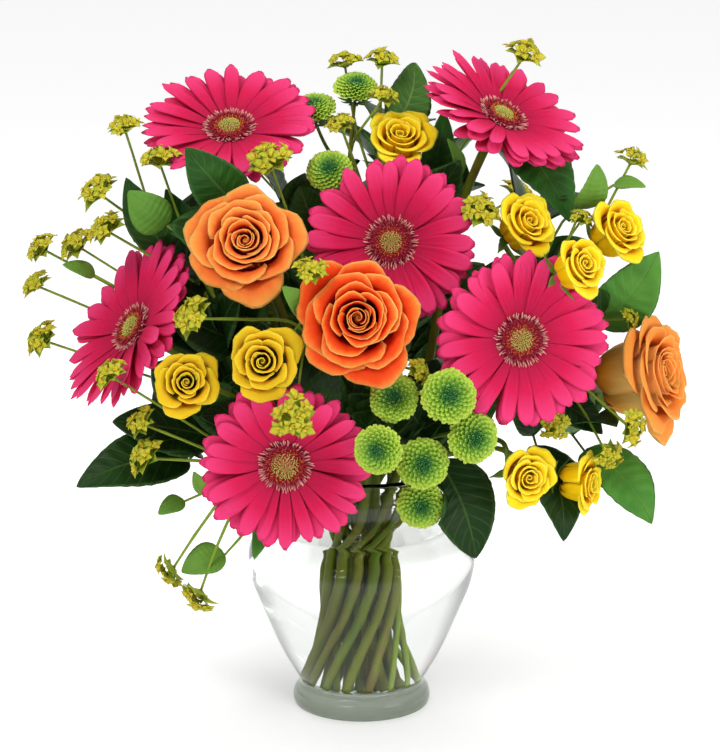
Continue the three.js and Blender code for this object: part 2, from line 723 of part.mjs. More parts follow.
// A rose: a bud core with a spiral edge, and whorls of cupped petals that each tuck one side under the next.
// Sizes are shares of the bloom's radius. rim and top are where a whorl's petals end.
const ROSE_CORE = [[0, -1], [0.2, -0.93], [0.22, -0.1], [0.15, 0.08], [0, 0.02]];
const CORE_SIDES = 6;
const ROSE_WHORLS = [
  { count: 3, span: 72, base: -0.5, rim: 0.4, top: 0.13, curl: 0.92, cells: [3, 2] },
  { count: 3, span: 70, base: -0.64, rim: 0.62, top: 0.08, curl: 0.9, cells: [3, 2] },
  { count: 3, span: 68, base: -0.78, rim: 0.82, top: -0.04, curl: 0.82, cells: [3, 3] },
  { count: 4, span: 52, base: -0.92, rim: 1, top: -0.22, curl: 0.76, cells: [3, 3] },
];
const SMALL_ROSE_WHORLS = [
  { count: 3, span: 70, base: -0.68, rim: 0.58, top: 0.1, curl: 0.9, cells: [3, 2] },
  { count: 3, span: 68, base: -0.9, rim: 0.96, top: -0.12, curl: 0.8, cells: [3, 2] },
];
const TUCK = 0.062; // how far a petal's two sides stand in and out
const CORE_SPIRAL = 0.25; // how much further out the core's edge ends than it starts
const PETAL_ROOT = 0.12; // the radius of a petal's root
const PETAL_BELLY = 0.84; // where its section turns up, as a share of its rim
const PETAL_STAND = 0.2; // how high its rim stands over the section's last bend
const PETAL_SHOULDER = 0.12; // how much lower its sides are than its middle
const PETAL_FAN = { root: 0.16, spread: 2.6 }; // its width at the root, and how fast it reaches its span
const PETAL_THICKNESS = { least: 0.75, share: 0.014 };
const WHORL_TURN = 0.37; // from whorl to whorl, as a share of the step from petal to petal
const PETAL_CHANCE = { turn: 0.12, lower: 0.05, lowerDraw: 7 };

function rosePetal({ count, span, base, rim, top, curl, cells }, w, k, size, seed) {
  const pick = seed * 60 + w * 10 + k;
  const turn = k + w * WHORL_TURN + PETAL_CHANCE.turn * (draw(pick) - 0.5);
  const start = (turn / count) * Math.PI * 2;
  const end = top - PETAL_CHANCE.lower * draw(pick + PETAL_CHANCE.lowerDraw);
  const section = new THREE.CubicBezierCurve3(
    new THREE.Vector3(PETAL_ROOT, base, 0),
    new THREE.Vector3(rim * PETAL_BELLY, base, 0),
    new THREE.Vector3(rim * curl, end - PETAL_STAND, 0),
    new THREE.Vector3(rim, end, 0),
  );
  const at = (across, up) => {
    const share = up * (1 - PETAL_SHOULDER * across ** 2);
    const way = section.getTangent(Math.min(share, 1));
    const p = section.getPoint(share).addScaledVector(new THREE.Vector3(way.y, -way.x, 0), TUCK * across);
    const angle = start + radians(span) * across * Math.min(1, PETAL_FAN.root + up * PETAL_FAN.spread);
    return new THREE.Vector3(p.x * Math.cos(angle), p.x * Math.sin(angle), p.y).multiplyScalar(size);
  };
  return petal(at, PETAL_THICKNESS.least + size * PETAL_THICKNESS.share, ...cells);
}

function rosePetals(bloom, whorls, seed) {
  const size = bloom.reach;
  const spiral = (side) => 1 + CORE_SPIRAL * (side / CORE_SIDES - 0.5);
  const core = turned(ROSE_CORE.map(([r, z]) => [r * size, z * size]), CORE_SIDES, spiral);
  const petals = whorls.flatMap((whorl, w) =>
    Array.from({ length: whorl.count }, (_, k) => rosePetal(whorl, w, k, size, seed)),
  );
  return [core, ...petals].map((geometry) => placed(geometry, bloom));
}

// The rose's green hip is the stem's own end, under the petals: where it starts, its waist and its top.
const HIP = { start: 1.3, waist: [1.16, 0.15], top: [1, 0.17] };
function hip(bloom, path, sides) {
  const size = bloom.reach;
  const [waist, top] = [HIP.waist, HIP.top];
  const depths = [HIP.start * size, waist[0] * size, top[0] * size + CLEARANCE];
  const points = path.points.slice(0, -1).concat(depths.map((depth) => behind(bloom, depth)));
  const radii = even(path).concat(waist[1] * size, top[1] * size);
  return bar(points, radii, sides);
}

// A button mum's head: a flattened ball whose florets stand out in rings, each ring between the last one's.
const MUM_HEAD = [[0, -0.52], [0.76, -0.36], [1, 0.02], [0.82, 0.38], [0.44, 0.58], [0, 0.42]];
const MUM_SIDES = 12;
const MUM_RELIEF = { out: 1.04, in: 0.84 };

function mumHead(bloom) {
  const size = bloom.reach;
  const florets = (side, ring) => ((side + ring) % 2 === 0 ? MUM_RELIEF.out : MUM_RELIEF.in);
  const head = turned(MUM_HEAD.map(([r, z]) => [r * size, z * size]), MUM_SIDES, florets);
  return [placed(head, bloom)];
}

// A twig that ends in a leaf's blade: a ridge along its midrib, arched from root to tip, toothed at its edge.
const LEAF_STATIONS = [[0, 0.08], [0.14, 0.62], [0.34, 1], [0.58, 0.88], [0.84, 0.42]];
const LEAF_THICKNESS = 1.4;
const LEAF_ARCH = 0.1;
const LEAF_EDGE_LIFT = 0.12; // how far its edges stand up, as a share of half its width
// A blade faces up and outward, and in front of FRONT_HALF it turns to the front as well.
const LEAF_OUTWARD = 0.8;
const LEAF_FORWARD = 1.3;
const FRONT_HALF = 10;
const FORWARD = new THREE.Vector3(0, -1, 0);

function leafOnTwig({ root, tip, width }, twig) {
  const from = point(root);
  const along = point(tip).sub(from);
  const length = along.length();
  along.normalize();
  const outward = new THREE.Vector3(root[0] + tip[0], root[1] + tip[1], 0);
  outward.setLength(LEAF_OUTWARD).add(UPWARD);
  if ((root[1] + tip[1]) / 2 < FRONT_HALF) outward.addScaledVector(FORWARD, LEAF_FORWARD);
  const side = along.clone().cross(outward).normalize();
  const over = side.clone().cross(along).normalize();
  const twigFrames = framesAlong(twig.points).slice(0, -1);
  const twigRings = twigFrames.map((frame) => ringAt(frame, twig.radius, TWIG_SIDES));
  const last = twigRings.at(-1);
  const rings = LEAF_STATIONS.map(([share, wide]) => {
    const rise = LEAF_ARCH * length * 4 * share * (1 - share);
    const middle = from.clone().addScaledVector(along, share * length).addScaledVector(over, rise);
    const half = (width / 2) * wide;
    const lift = half * LEAF_EDGE_LIFT;
    const edge = (way) => middle.clone().addScaledVector(side, way * half).addScaledVector(over, lift);
    return [edge(1), middle.clone().addScaledVector(over, lift - LEAF_THICKNESS), edge(-1)];
  });
  // The blade's three lines run on from the twig's three edges that lie nearest to them.
  const shift = [0, 1, 2].reduce((best, n) => {
    const far = (m) => rings[0].reduce((sum, p, i) => sum + p.distanceTo(last[(i + m) % TWIG_SIDES]), 0);
    return far(n) < far(best) ? n : best;
  });
  const turnedRings = twigRings.map((ring) => ring.map((_, i) => ring[(i + shift) % TWIG_SIDES]));
  return loft([...turnedRings, ...rings, [point(tip)]]);
}

// A twig that ends in a bupleurum head: a star of pointed bracts, cupped round a low cone of florets.
const BRACTS = 5;
const BRACT = { notch: 0.4, rise: 0.3, low: 0.36, high: 0.5 }; // as shares of the spread

function bractsOnTwig({ spread }, twig) {
  const frames = framesAlong(twig.points);
  const { p, along, across, other } = frames.at(-1);
  const neck = { p: p.clone().addScaledVector(along, -BRACT.low * spread), across, other };
  const stalk = [...frames.slice(0, -1), neck].map((frame) => ringAt(frame, twig.radius, TWIG_SIDES));
  const star = ringAt({ p, across, other }, (k) => spread * (k % 2 === 0 ? 1 : BRACT.notch), BRACTS * 2);
  star.forEach((tip, k) => tip.addScaledVector(along, k % 2 === 0 ? BRACT.rise * spread : 0));
  return loft([...stalk, star, [p.clone().addScaledVector(along, BRACT.high * spread)]]);
}

const leavesOf = (spray, twigs) => spray.leaves.map((leaf, k) => leafOnTwig(leaf, twigs[k]));

addPiece("vase", FINISH.glass, [turned([...VASE_OUTSIDE, ...VASE_INSIDE], VASE_SIDES)]);
GERBERAS.forEach((bloom, n) => {
  addPiece(`${bloom.name}_stem`, FINISH.stem, gerberaStem(bloom, gerberaStems[n]));
});
ROSES.forEach((bloom, n) => addPiece(`${bloom.name}_stem`, FINISH.stem, [hip(bloom, roseStems[n], HIP_SIDES)]));
SPRAY_ROSES.forEach((spray, n) => {
  const hips = spray.blooms.map((bloom, k) => hip(bloom, roseSprays[n].twigs[k], TWIG_SIDES));
  addPiece(`${spray.name}_stem`, FINISH.stem, [stemBar(roseSprays[n].stem), ...hips]);
});
BUTTON_MUMS.forEach((spray, n) => {
  const twigs = mumSprays[n].twigs.map((twig) => stemBar(twig, TWIG_SIDES));
  addPiece(`${spray.name}_stem`, FINISH.stem, [stemBar(mumSprays[n].stem), ...twigs]);
});
BUPLEURUM.forEach((spray, n) => {
  const { stem, twigs } = bupleurumSprays[n];
  const bracts = spray.heads.map((head, k) => bractsOnTwig(head, twigs[k]));
  const leaves = leavesOf(spray, twigs.slice(bracts.length));
  addPiece(spray.name, FINISH.bupleurum, [stemBar(stem), ...bracts, ...leaves]);
});
ROSES.forEach((bloom, n) => {
  addPiece(`${bloom.name}_petals`, FINISH.rose_petal, rosePetals(bloom, ROSE_WHORLS, n + 1));
});
SPRAY_ROSES.forEach((spray, n) => {
  spray.blooms.forEach((bloom, k) => {
    const petals = rosePetals(bloom, SMALL_ROSE_WHORLS, 10 + n * 5 + k);
    addPiece(`${spray.name}_petals_${k + 1}`, FINISH.yellow_petal, petals);
  });
});
BUTTON_MUMS.forEach((spray) => {
  spray.blooms.forEach((bloom, k) => {
    addPiece(`${spray.name}_head_${k + 1}`, FINISH.mum_floret, mumHead(bloom));
  });
});
GERBERAS.forEach((bloom) => addPiece(`${bloom.name}_disc`, FINISH.gerbera_disc, gerberaDisc(bloom)));
GERBERAS.forEach((bloom, n) => {
  addPiece(`${bloom.name}_rays`, FINISH.gerbera_ray, gerberaRays(bloom, n + 1));
});
SALAL.forEach((spray, n) => {
  const { stem, twigs } = salalSprays[n];
  addPiece(spray.name, FINISH.salal_leaf, [stemBar(stem), ...leavesOf(spray, twigs)]);
});
addPiece("water", FINISH.water, [turned(WATER, VASE_SIDES)]);

// ---- Solids: each piece is joined into one body and kept clear of the pieces before it ----

const fromMesh = (at, index) =>
  new wasm.Manifold(
    new wasm.Mesh({ numProp: 3, vertProperties: new Float32Array(at), triVerts: new Uint32Array(index) }),
  );

// A closed mesh as a solid, grown so that each face moves out by the distance given. A sharp corner moves
// further than its faces do, up to SPIKE times as far.
const SPIKE = 3;
function solid(geometry, grow) {
  const plain = geometry.index ? geometry.toNonIndexed() : geometry;
  const corners = new Map();
  const vertices = [];
  const triangles = [];
  const position = plain.getAttribute("position");
  for (let i = 0; i < position.count; i++) {
    const p = new THREE.Vector3().fromBufferAttribute(position, i);
    const key = p.toArray().map((x) => Math.round(x * 1e4)).join();
    if (!corners.has(key)) corners.set(key, vertices.push(p) - 1);
    triangles.push(corners.get(key));
  }
  const normals = vertices.map(() => []);
  const index = [];
  for (let i = 0; i < triangles.length; i += 3) {
    const [a, b, c] = triangles.slice(i, i + 3);
    if (a === b || b === c || c === a) continue;
    index.push(a, b, c);
    const normal = vertices[b].clone().sub(vertices[a]).cross(vertices[c].clone().sub(vertices[a]));
    for (const corner of [a, b, c]) normals[corner].push(normal.normalize());
  }
  const grown = vertices.flatMap((p, i) => {
    const way = normals[i].reduce((sum, normal) => sum.add(normal), new THREE.Vector3()).normalize();
    const least = Math.min(...normals[i].map((normal) => normal.dot(way)));
    return p.clone().addScaledVector(way, grow / Math.max(least, 1 / SPIKE)).toArray();
  });
  return fromMesh(grown, index);
}

const joined = (shapes, grow) => wasm.Manifold.union(shapes.map((geometry) => solid(geometry, grow)));

function largest(body) {
  return body.decompose().reduce((a, b) => (b.volume() > a.volume() ? b : a));
}

// The pairs of a mesh's corners that all but touch.
function nearPairs(at) {
  const order = Array.from({ length: at.length / 3 }, (_, i) => i).sort((i, j) => at[3 * i] - at[3 * j]);
  const near = (i, j) => [0, 1, 2].every((k) => Math.abs(at[3 * i + k] - at[3 * j + k]) < CORNERS_APART);
  return order.flatMap((i, n) => {
    let last = n + 1;
    while (last < order.length && at[3 * order[last]] - at[3 * i] < CORNERS_APART) last++;
    return order.slice(n + 1, last).filter((j) => near(i, j)).map((j) => [i, j]);
  });
}

// A body whose corners that all but touch are joined into one. Where the surface then meets itself in a
// corner, that corner is pulled back into the body on both sides.
function welded(body) {
  const { vertProperties: at, triVerts } = body.getMesh();
  const same = Array.from({ length: at.length / 3 }, (_, i) => i);
  for (const [i, j] of nearPairs(at)) same[j] = same[i];
  const index = [];
  for (let i = 0; i < triVerts.length; i += 3) {
    const [a, b, c] = [same[triVerts[i]], same[triVerts[i + 1]], same[triVerts[i + 2]]];
    if (a !== b && b !== c && c !== a) index.push(a, b, c);
  }
  const made = fromMesh(at, index);
  const mesh = made.getMesh();
  const pinched = new Set(nearPairs(mesh.vertProperties).flat());
  if (pinched.size === 0) return made;
  const corners = Array.from({ length: mesh.vertProperties.length / 3 }, (_, i) =>
    new THREE.Vector3().fromArray(mesh.vertProperties, 3 * i),
  );
  const ways = corners.map(() => new THREE.Vector3());
  for (let i = 0; i < mesh.triVerts.length; i += 3) {
    const [a, b, c] = mesh.triVerts.slice(i, i + 3);
    const normal = corners[b].clone().sub(corners[a]).cross(corners[c].clone().sub(corners[a])).normalize();
    for (const corner of [a, b, c]) ways[corner].add(normal);
  }
  for (const i of pinched) corners[i].addScaledVector(ways[i].normalize(), -PULL);
  return fromMesh(corners.flatMap((p) => p.toArray()), mesh.triVerts);
}

const apart = (a, b) => [0, 1, 2].some((k) => a.min[k] > b.max[k] || b.min[k] > a.max[k]);

// A body with room cut in it for another piece. Where a thin edge of that piece still lies too near, the room
// is swept out by a small eight-sided pebble rolled over the whole piece.
const PEBBLE = solid(turned([[0, -CLEARANCE], [CLEARANCE, 0], [0, CLEARANCE]], 4), 0);
function cutClear(body, other) {
  const cut = body.subtract(other.room);
  if (cut.minGap(other.body, CLEARANCE) > CLEARANCE / 2) return cut;
  return cut.subtract(other.body.minkowskiSum(PEBBLE));
}

const group = new THREE.Group();
const before = [];
for (const { name, finish, shapes } of pieces) {
  let body = joined(shapes, 0);
  for (const other of before) {
    if (!apart(body.boundingBox(), other.box)) body = cutClear(body, other);
  }
  body = largest(welded(body.simplify(SMALLEST)));
  const room = joined(shapes, CLEARANCE);
  before.push({ body, room, box: room.boundingBox() });
  const made = body.getMesh();
  const geometry = new THREE.BufferGeometry();
  geometry.setAttribute("position", new THREE.BufferAttribute(made.vertProperties.slice(), 3));
  geometry.setIndex(new THREE.BufferAttribute(made.triVerts.slice(), 1));
  const mesh = new THREE.Mesh(geometry, finish);
  mesh.name = name;
  group.add(mesh);
}

export default group;
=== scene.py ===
# %% [markdown]
# # Gerberas in a vase
# A round bouquet stands in a clear glass vase of water: hot pink gerberas, orange roses, small yellow roses,
# green button chrysanthemums, salal leaves and bupleurum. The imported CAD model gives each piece's place, and
# this script lays a finer surface over each one: thin cupped petals, grooved rays, veined leaves and round
# stems. Each blade is worked out on a grid with numpy, because petals repeat by the hundred and one formula
# with a little chance in it gives them all.

# %% Load the frame
import math

import bpy
import numpy as np
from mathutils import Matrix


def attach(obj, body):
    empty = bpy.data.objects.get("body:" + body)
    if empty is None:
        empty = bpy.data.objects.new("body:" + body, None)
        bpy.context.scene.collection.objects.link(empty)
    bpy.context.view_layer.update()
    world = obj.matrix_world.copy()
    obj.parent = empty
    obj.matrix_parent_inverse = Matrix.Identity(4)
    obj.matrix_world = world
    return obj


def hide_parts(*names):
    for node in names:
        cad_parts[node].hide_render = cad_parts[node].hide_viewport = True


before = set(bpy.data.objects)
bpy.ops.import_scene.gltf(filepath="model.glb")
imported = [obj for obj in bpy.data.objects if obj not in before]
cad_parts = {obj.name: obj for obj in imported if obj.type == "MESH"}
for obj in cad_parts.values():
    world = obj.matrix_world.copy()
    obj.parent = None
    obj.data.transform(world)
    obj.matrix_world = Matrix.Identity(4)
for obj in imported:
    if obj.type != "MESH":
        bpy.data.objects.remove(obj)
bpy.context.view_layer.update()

# %% [markdown]
# ## Small tools
# Sizes are written in millimetres, as a florist would measure them, and turned to metres once, when a mesh is
# made. Chance comes from one formula and not from a random generator, so each run grows the same bouquet.

# %% Chance, directions and a bloom's own frame
MM = 0.001


def draw(number):
    """Draws from 0 to 1: the part after the point of a large multiple of the sine of each number."""
    swing = np.sin(np.asarray(number, float) * 12.9898) * 43758.5453
    return swing - np.floor(swing)


def unit(vectors):
    """Each vector divided by its own length."""
    return vectors / (np.linalg.norm(vectors, axis=-1, keepdims=True) + 1e-12)


def bloom_axes(bloom):
    """The rows are a bloom's right, its up and the way it faces, from its turn to the right and its lift."""
    turn, lift = math.radians(bloom["turn"]), math.radians(bloom["lift"])
    face = np.array([math.sin(turn) * math.cos(lift), -math.cos(turn) * math.cos(lift), math.sin(lift)])
    right = np.array([math.cos(turn), math.sin(turn), 0.0])
    return np.array([right, np.cross(face, right), face])


def placed(points, bloom):
    """Points in a bloom's own frame, brought to its place in the bouquet."""
    return points @ bloom_axes(bloom) + np.array(bloom["at"], float)


# %% Parts of a mesh: points, faces, and what the materials read
def make_part(points, faces, uv, look):
    """Points with quads or triangles, places (across, along) on the blade, and a look: tone, side, kind."""
    points = points.reshape(-1, 3)
    look = np.broadcast_to(np.asarray(look, float), (len(points), 3))
    return {"points": points, "faces": faces, "uv": uv.reshape(-1, 2), "look": look}


def joined(parts):
    """One part from many: the faces of each are numbered on from the points of those before it."""
    starts = np.cumsum([0] + [len(p["points"]) for p in parts])
    faces = [f + start for p, start in zip(parts, starts) for f in p["faces"]]
    whole = {name: np.concatenate([p[name] for p in parts]) for name in ("points", "uv", "look")}
    return {**whole, "faces": faces}


pieces_made = []


def make_piece(node, part, finish):
    """Writes a part into a mesh, in metres, and lets it stand for its CAD node."""
    mesh = bpy.data.meshes.new(node + "_fine")
    corners = np.concatenate([f.ravel() for f in part["faces"]])
    sizes = np.concatenate([np.full(len(f), f.shape[1]) for f in part["faces"]])
    mesh.vertices.add(len(part["points"]))
    mesh.vertices.foreach_set("co", (part["points"] * MM).ravel().astype(np.float32))
    mesh.loops.add(len(corners))
    mesh.loops.foreach_set("vertex_index", corners.astype(np.int32))
    mesh.polygons.add(len(sizes))
    mesh.polygons.foreach_set("loop_start", (np.cumsum(sizes) - sizes).astype(np.int32))
    mesh.uv_layers.new(name="blade").uv.foreach_set("vector", part["uv"][corners].ravel().astype(np.float32))
    look = mesh.attributes.new("look", "FLOAT_VECTOR", "POINT")
    look.data.foreach_set("vector", part["look"].ravel().astype(np.float32))
    mesh.update(calc_edges=True)
    mesh.validate()
    mesh.shade_smooth()
    mesh.materials.append(finish)
    piece = bpy.data.objects.new(node + "_fine", mesh)
    bpy.context.scene.collection.objects.link(piece)
    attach(piece, "root")
    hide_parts(node)
    pieces_made.append((piece.name, int((sizes - 2).sum())))
    return piece


# %% [markdown]
# ## Thin blades, tubes and buds
# Nearly everything in a bouquet is one of three shapes. A blade is a petal, a ray or a leaf: a curved sheet
# half a millimetre thick that closes at its edge. A tube is a stem. A bud is a small spindle, such as one
# floret of a disc. Each could be modelled once and copied, but then all copies would be alike, so each
# function takes an array of many blades or buds at once, all different.


# %% Blades
def blades(front, thickness, tone=0.0, kind=0.0):
    """Closed thin blades. front[n, j, i] is blade n's grid, i across and j from root to tip. The front face
    is the grid pushed out along its normals by half the thickness, the back is pushed in as far, and the
    border stays in place, so that both faces meet in one edge."""
    count, rows, columns = front.shape[:3]
    normal = unit(np.cross(np.gradient(front, axis=2), np.gradient(front, axis=1)))
    inside = np.zeros((rows, columns, 1))
    inside[1:-1, 1:-1] = 1
    push = normal * inside * thickness / 2
    face, back = front + push, (front - push)[:, 1:-1, 1:-1]
    points = np.concatenate([face.reshape(count, -1, 3), back.reshape(count, -1, 3)], axis=1)
    over = np.arange(rows * columns).reshape(rows, columns)
    under = over.copy()
    under[1:-1, 1:-1] = rows * columns + np.arange((rows - 2) * (columns - 2)).reshape(rows - 2, columns - 2)
    corners = [(slice(None, -1), slice(None, -1)), (slice(None, -1), slice(1, None)),
               (slice(1, None), slice(1, None)), (slice(1, None), slice(None, -1))]
    quads = np.concatenate([np.stack([over[c] for c in corners], -1).reshape(-1, 4),
                            np.stack([under[c] for c in reversed(corners)], -1).reshape(-1, 4)])
    faces = (quads[None] + (np.arange(count) * points.shape[1])[:, None, None]).reshape(-1, 4)
    along, across = np.meshgrid(np.linspace(0, 1, rows), np.linspace(0, 1, columns), indexing="ij")
    places = np.stack([across, along, 0.5 + 0.5 * inside[..., 0]], -1)
    behind = places[1:-1, 1:-1] * [1, 1, 0]
    places = np.concatenate([places.reshape(-1, 3), behind.reshape(-1, 3)])
    each = np.broadcast_to(places, (count,) + places.shape)
    look = np.empty(each.shape)
    look[..., 0] = np.reshape(tone, (-1, 1))
    look[..., 1] = each[..., 2]
    look[..., 2] = np.reshape(kind, (-1, 1))
    return make_part(points, [faces], np.ascontiguousarray(each[..., :2]), look.reshape(-1, 3))


def grid(rows, columns):
    """A blade's two parameters: across from -1 to 1, and up from 0 to 1, ready to meet arrays of blades."""
    return np.linspace(-1, 1, columns)[None, None, :], np.linspace(0, 1, rows)[None, :, None]


def each_blade(values):
    """One value for each blade, shaped to meet the grid."""
    return np.reshape(values, (-1, 1, 1))


def turned_out(out, side, height, angle):
    """Points that far out along each blade's own direction round the axis, and that far to its side."""
    return np.stack([out * np.cos(angle) - side * np.sin(angle), out * np.sin(angle) + side * np.cos(angle),
                     height + 0 * side], -1)


# %% Tubes
def smooth_path(points, steps):
    """A Catmull-Rom curve through points: each stretch is a cubic whose slope at a point is half the way from
    the point before it to the point after."""
    p = np.vstack([2 * points[0] - points[1], points, 2 * points[-1] - points[-2]])
    t = np.linspace(0, 1, steps, endpoint=False)[None, :, None]
    a, b, c, d = (p[k:len(p) - 3 + k, None] for k in range(4))
    curve = 0.5 * (2 * b + (c - a) * t + (2 * a - 5 * b + 4 * c - d) * t**2 + (3 * b - a - 3 * c + d) * t**3)
    return np.vstack([curve.reshape(-1, 3), points[-1]])


def frames_along(path):
    """The way along a path and two directions across it. The first is the direction that the whole path runs
    along least, made square to the path at each point."""
    way = unit(np.gradient(path, axis=0))
    least = np.linalg.svd(way)[2][2]
    across = unit(least - (way @ least)[:, None] * way)
    return way, across, np.cross(way, across)


def tube(path, radii, sides, tone=0.0, kind=0.0, slant=0.0):
    """A round bar: at each point of the path a circle of that radius, across the path. slant tips the first
    circle, as a florist's cut does. Both ends are closed to a middle point."""
    way, across, other = frames_along(path)
    angle = np.linspace(0, 2 * math.pi, sides, endpoint=False)
    circle = np.cos(angle)[:, None] * across[:, None] + np.sin(angle)[:, None] * other[:, None]
    rings = path[:, None] + np.reshape(radii, (-1, 1, 1)) * circle
    tip = slant * radii[0] * (1 + np.cos(angle))
    rings[0] += tip[:, None] * way[0]
    points = np.vstack([rings.reshape(-1, 3), rings[0].mean(0), path[-1]])
    index = np.arange(len(path) * sides).reshape(-1, sides)
    turned = np.roll(index, -1, axis=1)
    quads = np.stack([index[:-1], turned[:-1], turned[1:], index[1:]], -1).reshape(-1, 4)
    low, high = len(points) - 2, len(points) - 1
    caps = np.concatenate([np.stack([np.full(sides, low), turned[0], index[0]], -1),
                           np.stack([np.full(sides, high), index[-1], turned[-1]], -1)])
    length = np.concatenate([[0], np.cumsum(np.linalg.norm(np.diff(path, axis=0), axis=1))])
    around = np.broadcast_to(angle / (2 * math.pi), (len(path), sides))
    up = np.broadcast_to(length[:, None], (len(path), sides))
    uv = np.vstack([np.stack([around, up], -1).reshape(-1, 2), [[0.5, 0], [0.5, length[-1]]]])
    return make_part(points, [quads, caps], uv, (tone, 1.0, kind))


# %% Buds and turned shapes
def buds(root, tip, radius, sides=4, tone=0.0, kind=0.0):
    """Spindles from root to tip: a ring of that radius a third of the way up, and one of two thirds of it
    near the top, with a point at each end."""
    count = len(root)
    way = unit(tip - root)
    across = unit(np.cross(way, [0.31, 0.57, 0.76]))
    other = np.cross(way, across)
    angle = np.linspace(0, 2 * math.pi, sides, endpoint=False)
    circle = np.cos(angle)[:, None] * across[:, None] + np.sin(angle)[:, None] * other[:, None]
    width = np.reshape(radius, (-1, 1, 1))
    low = (root + (tip - root) * 0.3)[:, None] + circle * width
    high = (root + (tip - root) * 0.8)[:, None] + circle * width * 0.66
    points = np.concatenate([root[:, None], low, high, tip[:, None]], axis=1)
    a = 1 + np.arange(sides)
    b = np.roll(a, -1)
    last = np.full(sides, 1 + 2 * sides)
    start = (np.arange(count) * points.shape[1])[:, None, None]
    quads = np.stack([a, b, b + sides, a + sides], -1)[None] + start
    ends = np.concatenate([np.stack([np.zeros(sides, int), b, a], -1),
                           np.stack([last, a + sides, b + sides], -1)])[None] + start
    up = np.concatenate([[0], np.full(sides, 0.3), np.full(sides, 0.8), [1]])
    uv = np.broadcast_to(np.stack([np.full_like(up, 0.5), up], -1), (count, len(up), 2))
    look = np.ones((count, len(up), 3))
    look[..., 0] = np.reshape(tone, (-1, 1))
    look[..., 2] = np.reshape(kind, (-1, 1))
    faces = [quads.reshape(-1, 4), ends.reshape(-1, 3)]
    return make_part(points, faces, np.ascontiguousarray(uv), look.reshape(-1, 3))


def turned_shape(section, sides, tone=0.0, kind=0.0):
    """A lathe shape round the upright axis. The section's [radius, height] points run from the axis below,
    out and up, and back to the axis, and its first and last points are the poles."""
    section = np.asarray(section, float)
    angle = np.linspace(0, 2 * math.pi, sides, endpoint=False)
    r, z = section[1:-1, 0], section[1:-1, 1]
    out, up = r[:, None], np.repeat(z[:, None], sides, 1)
    rings = np.stack([out * np.cos(angle), out * np.sin(angle), up], -1)
    poles = np.array([[0, 0, section[0, 1]], [0, 0, section[-1, 1]]])
    points = np.vstack([rings.reshape(-1, 3), poles])
    index = np.arange(len(r) * sides).reshape(-1, sides)
    following = np.roll(index, -1, axis=1)
    quads = np.stack([index[:-1], following[:-1], following[1:], index[1:]], -1).reshape(-1, 4)
    low, high = len(points) - 2, len(points) - 1
    caps = np.concatenate([np.stack([np.full(sides, low), following[0], index[0]], -1),
                           np.stack([np.full(sides, high), index[-1], following[-1]], -1)])
    share = np.linspace(0, 1, len(r))
    uv = np.stack(np.broadcast_arrays(angle / (2 * math.pi), share[:, None]), -1).reshape(-1, 2)
    return make_part(points, [quads, caps], np.vstack([uv, [[0.5, 0], [0.5, 1]]]), (tone, 1.0, kind))


# %% [markdown]
# ## Tools for materials
# A colour is written as it is picked on a screen, in hex, and turned to the linear light that the renderer
# counts in. One function adds any kind of node.


# %% Colours and nodes
def linear(hex_colour):
    """An sRGB hex colour as linear red, green and blue, with an alpha of 1."""
    parts = np.array([int(hex_colour[i:i + 2], 16) / 255 for i in (1, 3, 5)])
    light = np.where(parts <= 0.04045, parts / 12.92, ((parts + 0.055) / 1.055) ** 2.4)
    return (*light, 1.0)


def add(tree, kind, *inputs, ramp=(), output=0, **settings):
    """Adds a node of a kind with its settings and its inputs, in order or by name, and gives one output, or
    all of them where output is None. An input is linked where its value is another node's output. A ramp is
    a row of (place, hex colour) steps."""
    made = tree.nodes.new("ShaderNode" + kind)
    for name, value in settings.items():
        setattr(made, name, value)
    named = dict(inputs[0]) if inputs and isinstance(inputs[0], dict) else dict(enumerate(inputs))
    for socket, value in named.items():
        if isinstance(value, bpy.types.NodeSocket):
            tree.links.new(value, made.inputs[socket])
        else:
            made.inputs[socket].default_value = value
    for place, colour in ramp:
        made.color_ramp.elements.new(place).color = linear(colour)
    if ramp:
        made.color_ramp.elements.remove(made.color_ramp.elements[0])
        made.color_ramp.elements.remove(made.color_ramp.elements[-1])
    return made.outputs if output is None else made.outputs[output]


def new_finish(name, **values):
    """A material with one Principled shader, whose plain values are set here, and its tree."""
    finish = bpy.data.materials.new(name)
    finish.use_nodes = True
    tree = finish.node_tree
    shader = next(n for n in tree.nodes if n.type == "BSDF_PRINCIPLED")
    for socket, value in values.items():
        shader.inputs[socket.replace("_", " ")].default_value = value
    return finish, tree, shader


def blade_inputs(tree):
    """What a blade's mesh carries: its across and along, how near its edge is (0 to 1), and its look."""
    uv = add(tree, "UVMap", uv_map="blade")
    across, along, _ = add(tree, "SeparateXYZ", uv, output=None)
    look = add(tree, "Attribute", attribute_name="look", output="Vector")
    from_middle = add(tree, "Math", across, 2.0, -1.0, operation="MULTIPLY_ADD")
    edge = add(tree, "Math", from_middle, operation="ABSOLUTE")
    return uv, along, edge, *add(tree, "SeparateXYZ", look, output=None)


def streaks(tree, uv, across, along, detail=2.0):
    """Noise drawn out along a blade: its coordinates are the place on the blade, stretched unevenly."""
    stretched = add(tree, "Mapping", {"Vector": uv, "Scale": (across, along, 1)})
    return add(tree, "TexNoise", {"Vector": stretched, "Scale": 1.0, "Detail": detail})


def patches(tree, millimetres, detail=3.0, stretch=(1, 1, 1)):
    """Noise in object space whose patches are that many millimetres across."""
    place = add(tree, "TexCoord", output="Object")
    sized = add(tree, "Mapping", {"Vector": place, "Scale": stretch})
    return add(tree, "TexNoise", {"Vector": sized, "Scale": 1 / (millimetres * MM), "Detail": detail})


